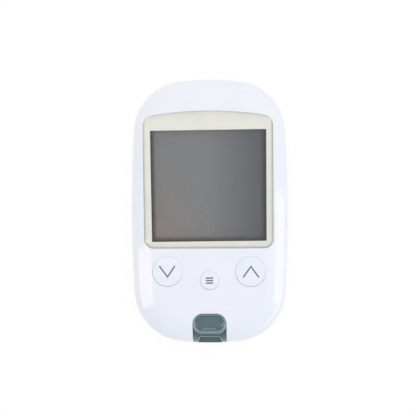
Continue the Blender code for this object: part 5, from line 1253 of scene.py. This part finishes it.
fixing, given = new_tree("case_screws", {
    "Geometry": ("Geometry", None), "Material": ("Material", None), "Head Low": ("Float", 0.0),
    "Upper Left": ("Vector", (0.0, 0.0, 0.0)), "Upper Right": ("Vector", (0.0, 0.0, 0.0)),
    "Lower Left": ("Vector", (0.0, 0.0, 0.0)), "Lower Right": ("Vector", (0.0, 0.0, 0.0)),
    "Thread Low": ("Float", 1.0), "Thread Pitch": ("Float", 0.001), "Thread Depth": ("Float", 0.0),
    "Seed": ("Int", 3)})
blank = add(fixing, "GeometryNodeGroup", {"Segments": 32} | {
    label: given[label] for label in ("Geometry", "Thread Low", "Thread Pitch", "Thread Depth", "Material")},
            node_tree=turning).outputs[0]
cross = add(fixing, "GeometryNodeMeshCone", {
    "Vertices": 8, "Radius Bottom": 1.0, "Radius Top": 0.0, "Depth": 1.0}).outputs[0]
corner = calculate(fixing, "MODULO", add(fixing, "GeometryNodeInputIndex").outputs[0], 2.0)
star = remap(fixing, corner, 0.0, 1.0, RECESS_ARM, RECESS_WAIST)
scaled = add(fixing, "ShaderNodeVectorMath", {
    0: add(fixing, "GeometryNodeInputPosition").outputs[0],
    1: triple(fixing, X=star, Y=star, Z=RECESS_DEPTH)}, operation="MULTIPLY").outputs[0]
raised = triple(fixing, Z=calculate(fixing, "SUBTRACT", given["Head Low"], RECESS_OUT))
recess = placed(fixing, cross, shifted(fixing, scaled, raised))
driven = add(fixing, "GeometryNodeMeshBoolean", {"Mesh 1": blank, "Mesh 2": recess}, operation="DIFFERENCE",
             solver="EXACT").outputs[0]
places = add(fixing, "GeometryNodeJoinGeometry")
for side in ("Upper", "Lower"):
    feed(places, {0: add(fixing, "GeometryNodeMeshLine", {
        "Count": 2, "Start Location": given[f"{side} Left"], "Offset": given[f"{side} Right"]},
                         mode="END_POINTS").outputs[0]})
angle = add(fixing, "FunctionNodeRandomValue", {"Max": math.tau, "Seed": given["Seed"]}, data_type="FLOAT")
close_tree(fixing, repeat(fixing, places.outputs[0], driven, angle.outputs["Value"]), given["Material"])

low = SCREW_SEAT - SCREW_HEAD[1]
profile = [(0.0, 0.0, low)]
profile += [(SCREW_HEAD[0] * (1 - drop) ** 0.9, 0.0, low + SCREW_DOME * inset) for inset, drop in rounding(1.0, 8)]
profile += [(SCREW_HEAD[0], 0.0, SCREW_SEAT), (SCREW_SHANK, 0.0, SCREW_SEAT)]
thread_end = SCREW_TIP - SCREW_SHANK
steps = int((thread_end - SCREW_SEAT) / (THREAD_PITCH / 6))
profile += [(SCREW_SHANK, 0.0, SCREW_SEAT + (thread_end - SCREW_SEAT) * i / steps) for i in range(1, steps + 1)]
profile.append((0.0, 0.0, SCREW_TIP))
ends = {f"{level} {side}": (sign * abs(place[0]), place[1], 0.0)
        for level, place in (("Upper", SCREW_PLACES[0]), ("Lower", SCREW_PLACES[2]))
        for side, sign in (("Left", -1), ("Right", 1))}
screws = grow("case_screws", fixing, {
    "Material": screw_steel, "Head Low": low, "Thread Low": SCREW_SEAT + THREAD_START,
    "Thread Pitch": THREAD_PITCH, "Thread Depth": THREAD_DEPTH, "Seed": 3, **ends}, profile)
settle(smooth(screws), screw_steel, "housing", "screw_steel", *[f"case_screw_{i}" for i in (1, 2, 3, 4)])

# Coin cells and their contacts
# Two steel coin cells with the negative cap towards the board and the cup, with a shallow plus, towards the
# door. A plastic gasket shows as a ring round each cap. The contacts are nickel-plated strips from the board.
CELL_RADIUS, CELL_LOW, CELL_HEIGHT = 0.0100, 0.0018, 0.0032
CELL_CAP, CELL_STEP, CELL_ROUND = 0.0088, 0.0003, 0.0003
# Outwards and above the shoulder: the cup's rim from its outer edge, its cap and the gasket from the cap's foot.
CUP_RIM = ((0.0, -0.0003), (-0.0001, -0.0001), (-0.0003, 0.0))
CUP_CAP = ((0.0005, 0.0), (0.0005, -0.0002), (0.0, -0.0002), (0.0, 0.00015), (-0.00015, CELL_STEP))
SEAL = ((0.00003, -0.00015), (0.00047, -0.00015), (0.00047, 0.00002), (0.0002, 0.00008), (0.00003, 0.00004),
        (0.00003, -0.00015))
PLUS_ARM, PLUS_WIDTH, PLUS_DEPTH, PLUS_Y = 0.0016, 0.0006, 0.00012, -0.0052
cell_steel = grained("brushed_stainless_steel", ("#BDBEBE", "#CCCCCA"), 0.0016, (0.20, 0.32), relief=0.000002,
                     metallic=1.0)
gasket = grained("polypropylene_gasket", ("#3A4148", "#454C53"), 0.0010, (0.45, 0.55))
nickel = grained("nickel_plate", ("#B9B6AC", "#C9C6BC"), 0.0012, (0.18, 0.30), metallic=1.0)
dress(nickel, *[f"battery_contact_{pole}_{number}" for pole in ("neg", "pos") for number in (1, 2)])


def turn_piece(name, profile, centre, material, segments=96):
    """A piece turned from a profile of (radius, height) points about an upright line, its faces outwards."""
    points = [(radius, 0.0, z) for radius, z in profile]
    piece = grow(name, turning, {"Segments": segments, "Centre": (*centre, 0.0), "Material": material}, points)
    bm = bmesh.new()
    bm.from_mesh(piece.data)
    bmesh.ops.recalc_face_normals(bm, faces=bm.faces)
    bm.to_mesh(piece.data)
    bm.free()
    return piece


shoulder_z = CELL_LOW + CELL_HEIGHT - CELL_STEP
cup = [(0.0, CELL_LOW)] + [(CELL_RADIUS - drop, CELL_LOW + inset) for inset, drop in rounding(CELL_ROUND, 5)]
cup += [(CELL_RADIUS + out, shoulder_z + up) for out, up in CUP_RIM]
cup += [(CELL_CAP + out, shoulder_z + up) for out, up in CUP_CAP] + [(0.0, shoulder_z + CELL_STEP)]
seal_ring = [(CELL_CAP + out, shoulder_z + up) for out, up in SEAL]
for number, cell_y in enumerate(CELL_Y, 1):
    cell = turn_piece(f"coin_cell_{number}", cup, (0.0, cell_y), cell_steel)
    for x_size, y_size in ((2 * PLUS_ARM, PLUS_WIDTH), (PLUS_WIDTH, 2 * PLUS_ARM)):
        carve(cell, block(about(0.0, x_size), about(cell_y + PLUS_Y, y_size),
                          (CELL_LOW - ABOVE, CELL_LOW + PLUS_DEPTH)))
    settle(smooth(cell), cell_steel, "housing", "cell_steel", f"battery_{number}")
    seal = turn_piece(f"cell_gasket_{number}", seal_ring, (0.0, cell_y), gasket)
    settle(smooth(seal), gasket, "housing", "holder_black")

# Battery door
# The same glossy ABS as the case: a flat plate with a soft edge, level with the back. Two hooks hold its upper
# end, and a slit tongue with a catch snaps in at its lower end, under three grip grooves.
DOOR_LOW, DOOR_THICK, DOOR_EDGE = 0.0001, 0.0015, 0.0003
TONGUE_WIDTH, TONGUE_LENGTH, TONGUE_SLIT = 0.0080, 0.0070, 0.0006
GROOVES, GROOVE_SIZE, GROOVE_DEPTH, SLIT_END = (0.0020, 0.0033, 0.0046), (0.0060, 0.0006), 0.00030, 0.00029
HOOK_REACH, HOOK_HEIGHTS, SLIT_PAST = (0.0020, 0.0012), (-0.0001, 0.0008), 0.0010
CATCH_WIDTH, CATCH_REACH, CATCH_HEIGHTS = 0.0050, (-0.0002, 0.0005), (-0.0010, -0.0005)
door_top = DOOR_LOW + DOOR_THICK


def door_plan(inset):
    """Plan of the door, inset all round."""
    return rounded_rectangle((0, DOOR_CENTRE_Y), [side - 2 * inset for side in DOOR_SIZE], DOOR_CORNER - inset, 12)


rings = [at_height(door_plan(drop), DOOR_LOW + inset) for inset, drop in rounding(DOOR_EDGE, 6)]
door = loft("door_plate", rings + [at_height(door_plan(0.0), door_top)])
door_end = DOOR_CENTRE_Y - DOOR_SIZE[1] / 2
for side in (-1, 1):
    carve(door, block(about(side * HOOK_X, HOOK_WIDTH), (hinge_y - HOOK_REACH[0], hinge_y + HOOK_REACH[1]),
                      [door_top + height for height in HOOK_HEIGHTS]), "UNION")
for side in (-1, 1):
    slit = rounded_rectangle((side * (TONGUE_WIDTH + TONGUE_SLIT) / 2, door_end + (TONGUE_LENGTH - SLIT_PAST) / 2),
                             (TONGUE_SLIT, TONGUE_LENGTH + SLIT_PAST), SLIT_END, 6)
    carve(door, prism(slit, -ABOVE, door_top + ABOVE))
for reach in GROOVES:
    groove = rounded_rectangle((0, door_end + reach), GROOVE_SIZE, SLIT_END, 6)
    carve(door, prism(groove, -ABOVE, DOOR_LOW + GROOVE_DEPTH))
carve(door, block(about(0, CATCH_WIDTH), [door_end + reach for reach in CATCH_REACH],
                  [door_top + height for height in CATCH_HEIGHTS]), "UNION")
soften(door, 0.00006, 2, 50)
settle(smooth(door), abs_gloss, "door", "case_white", "battery_door")
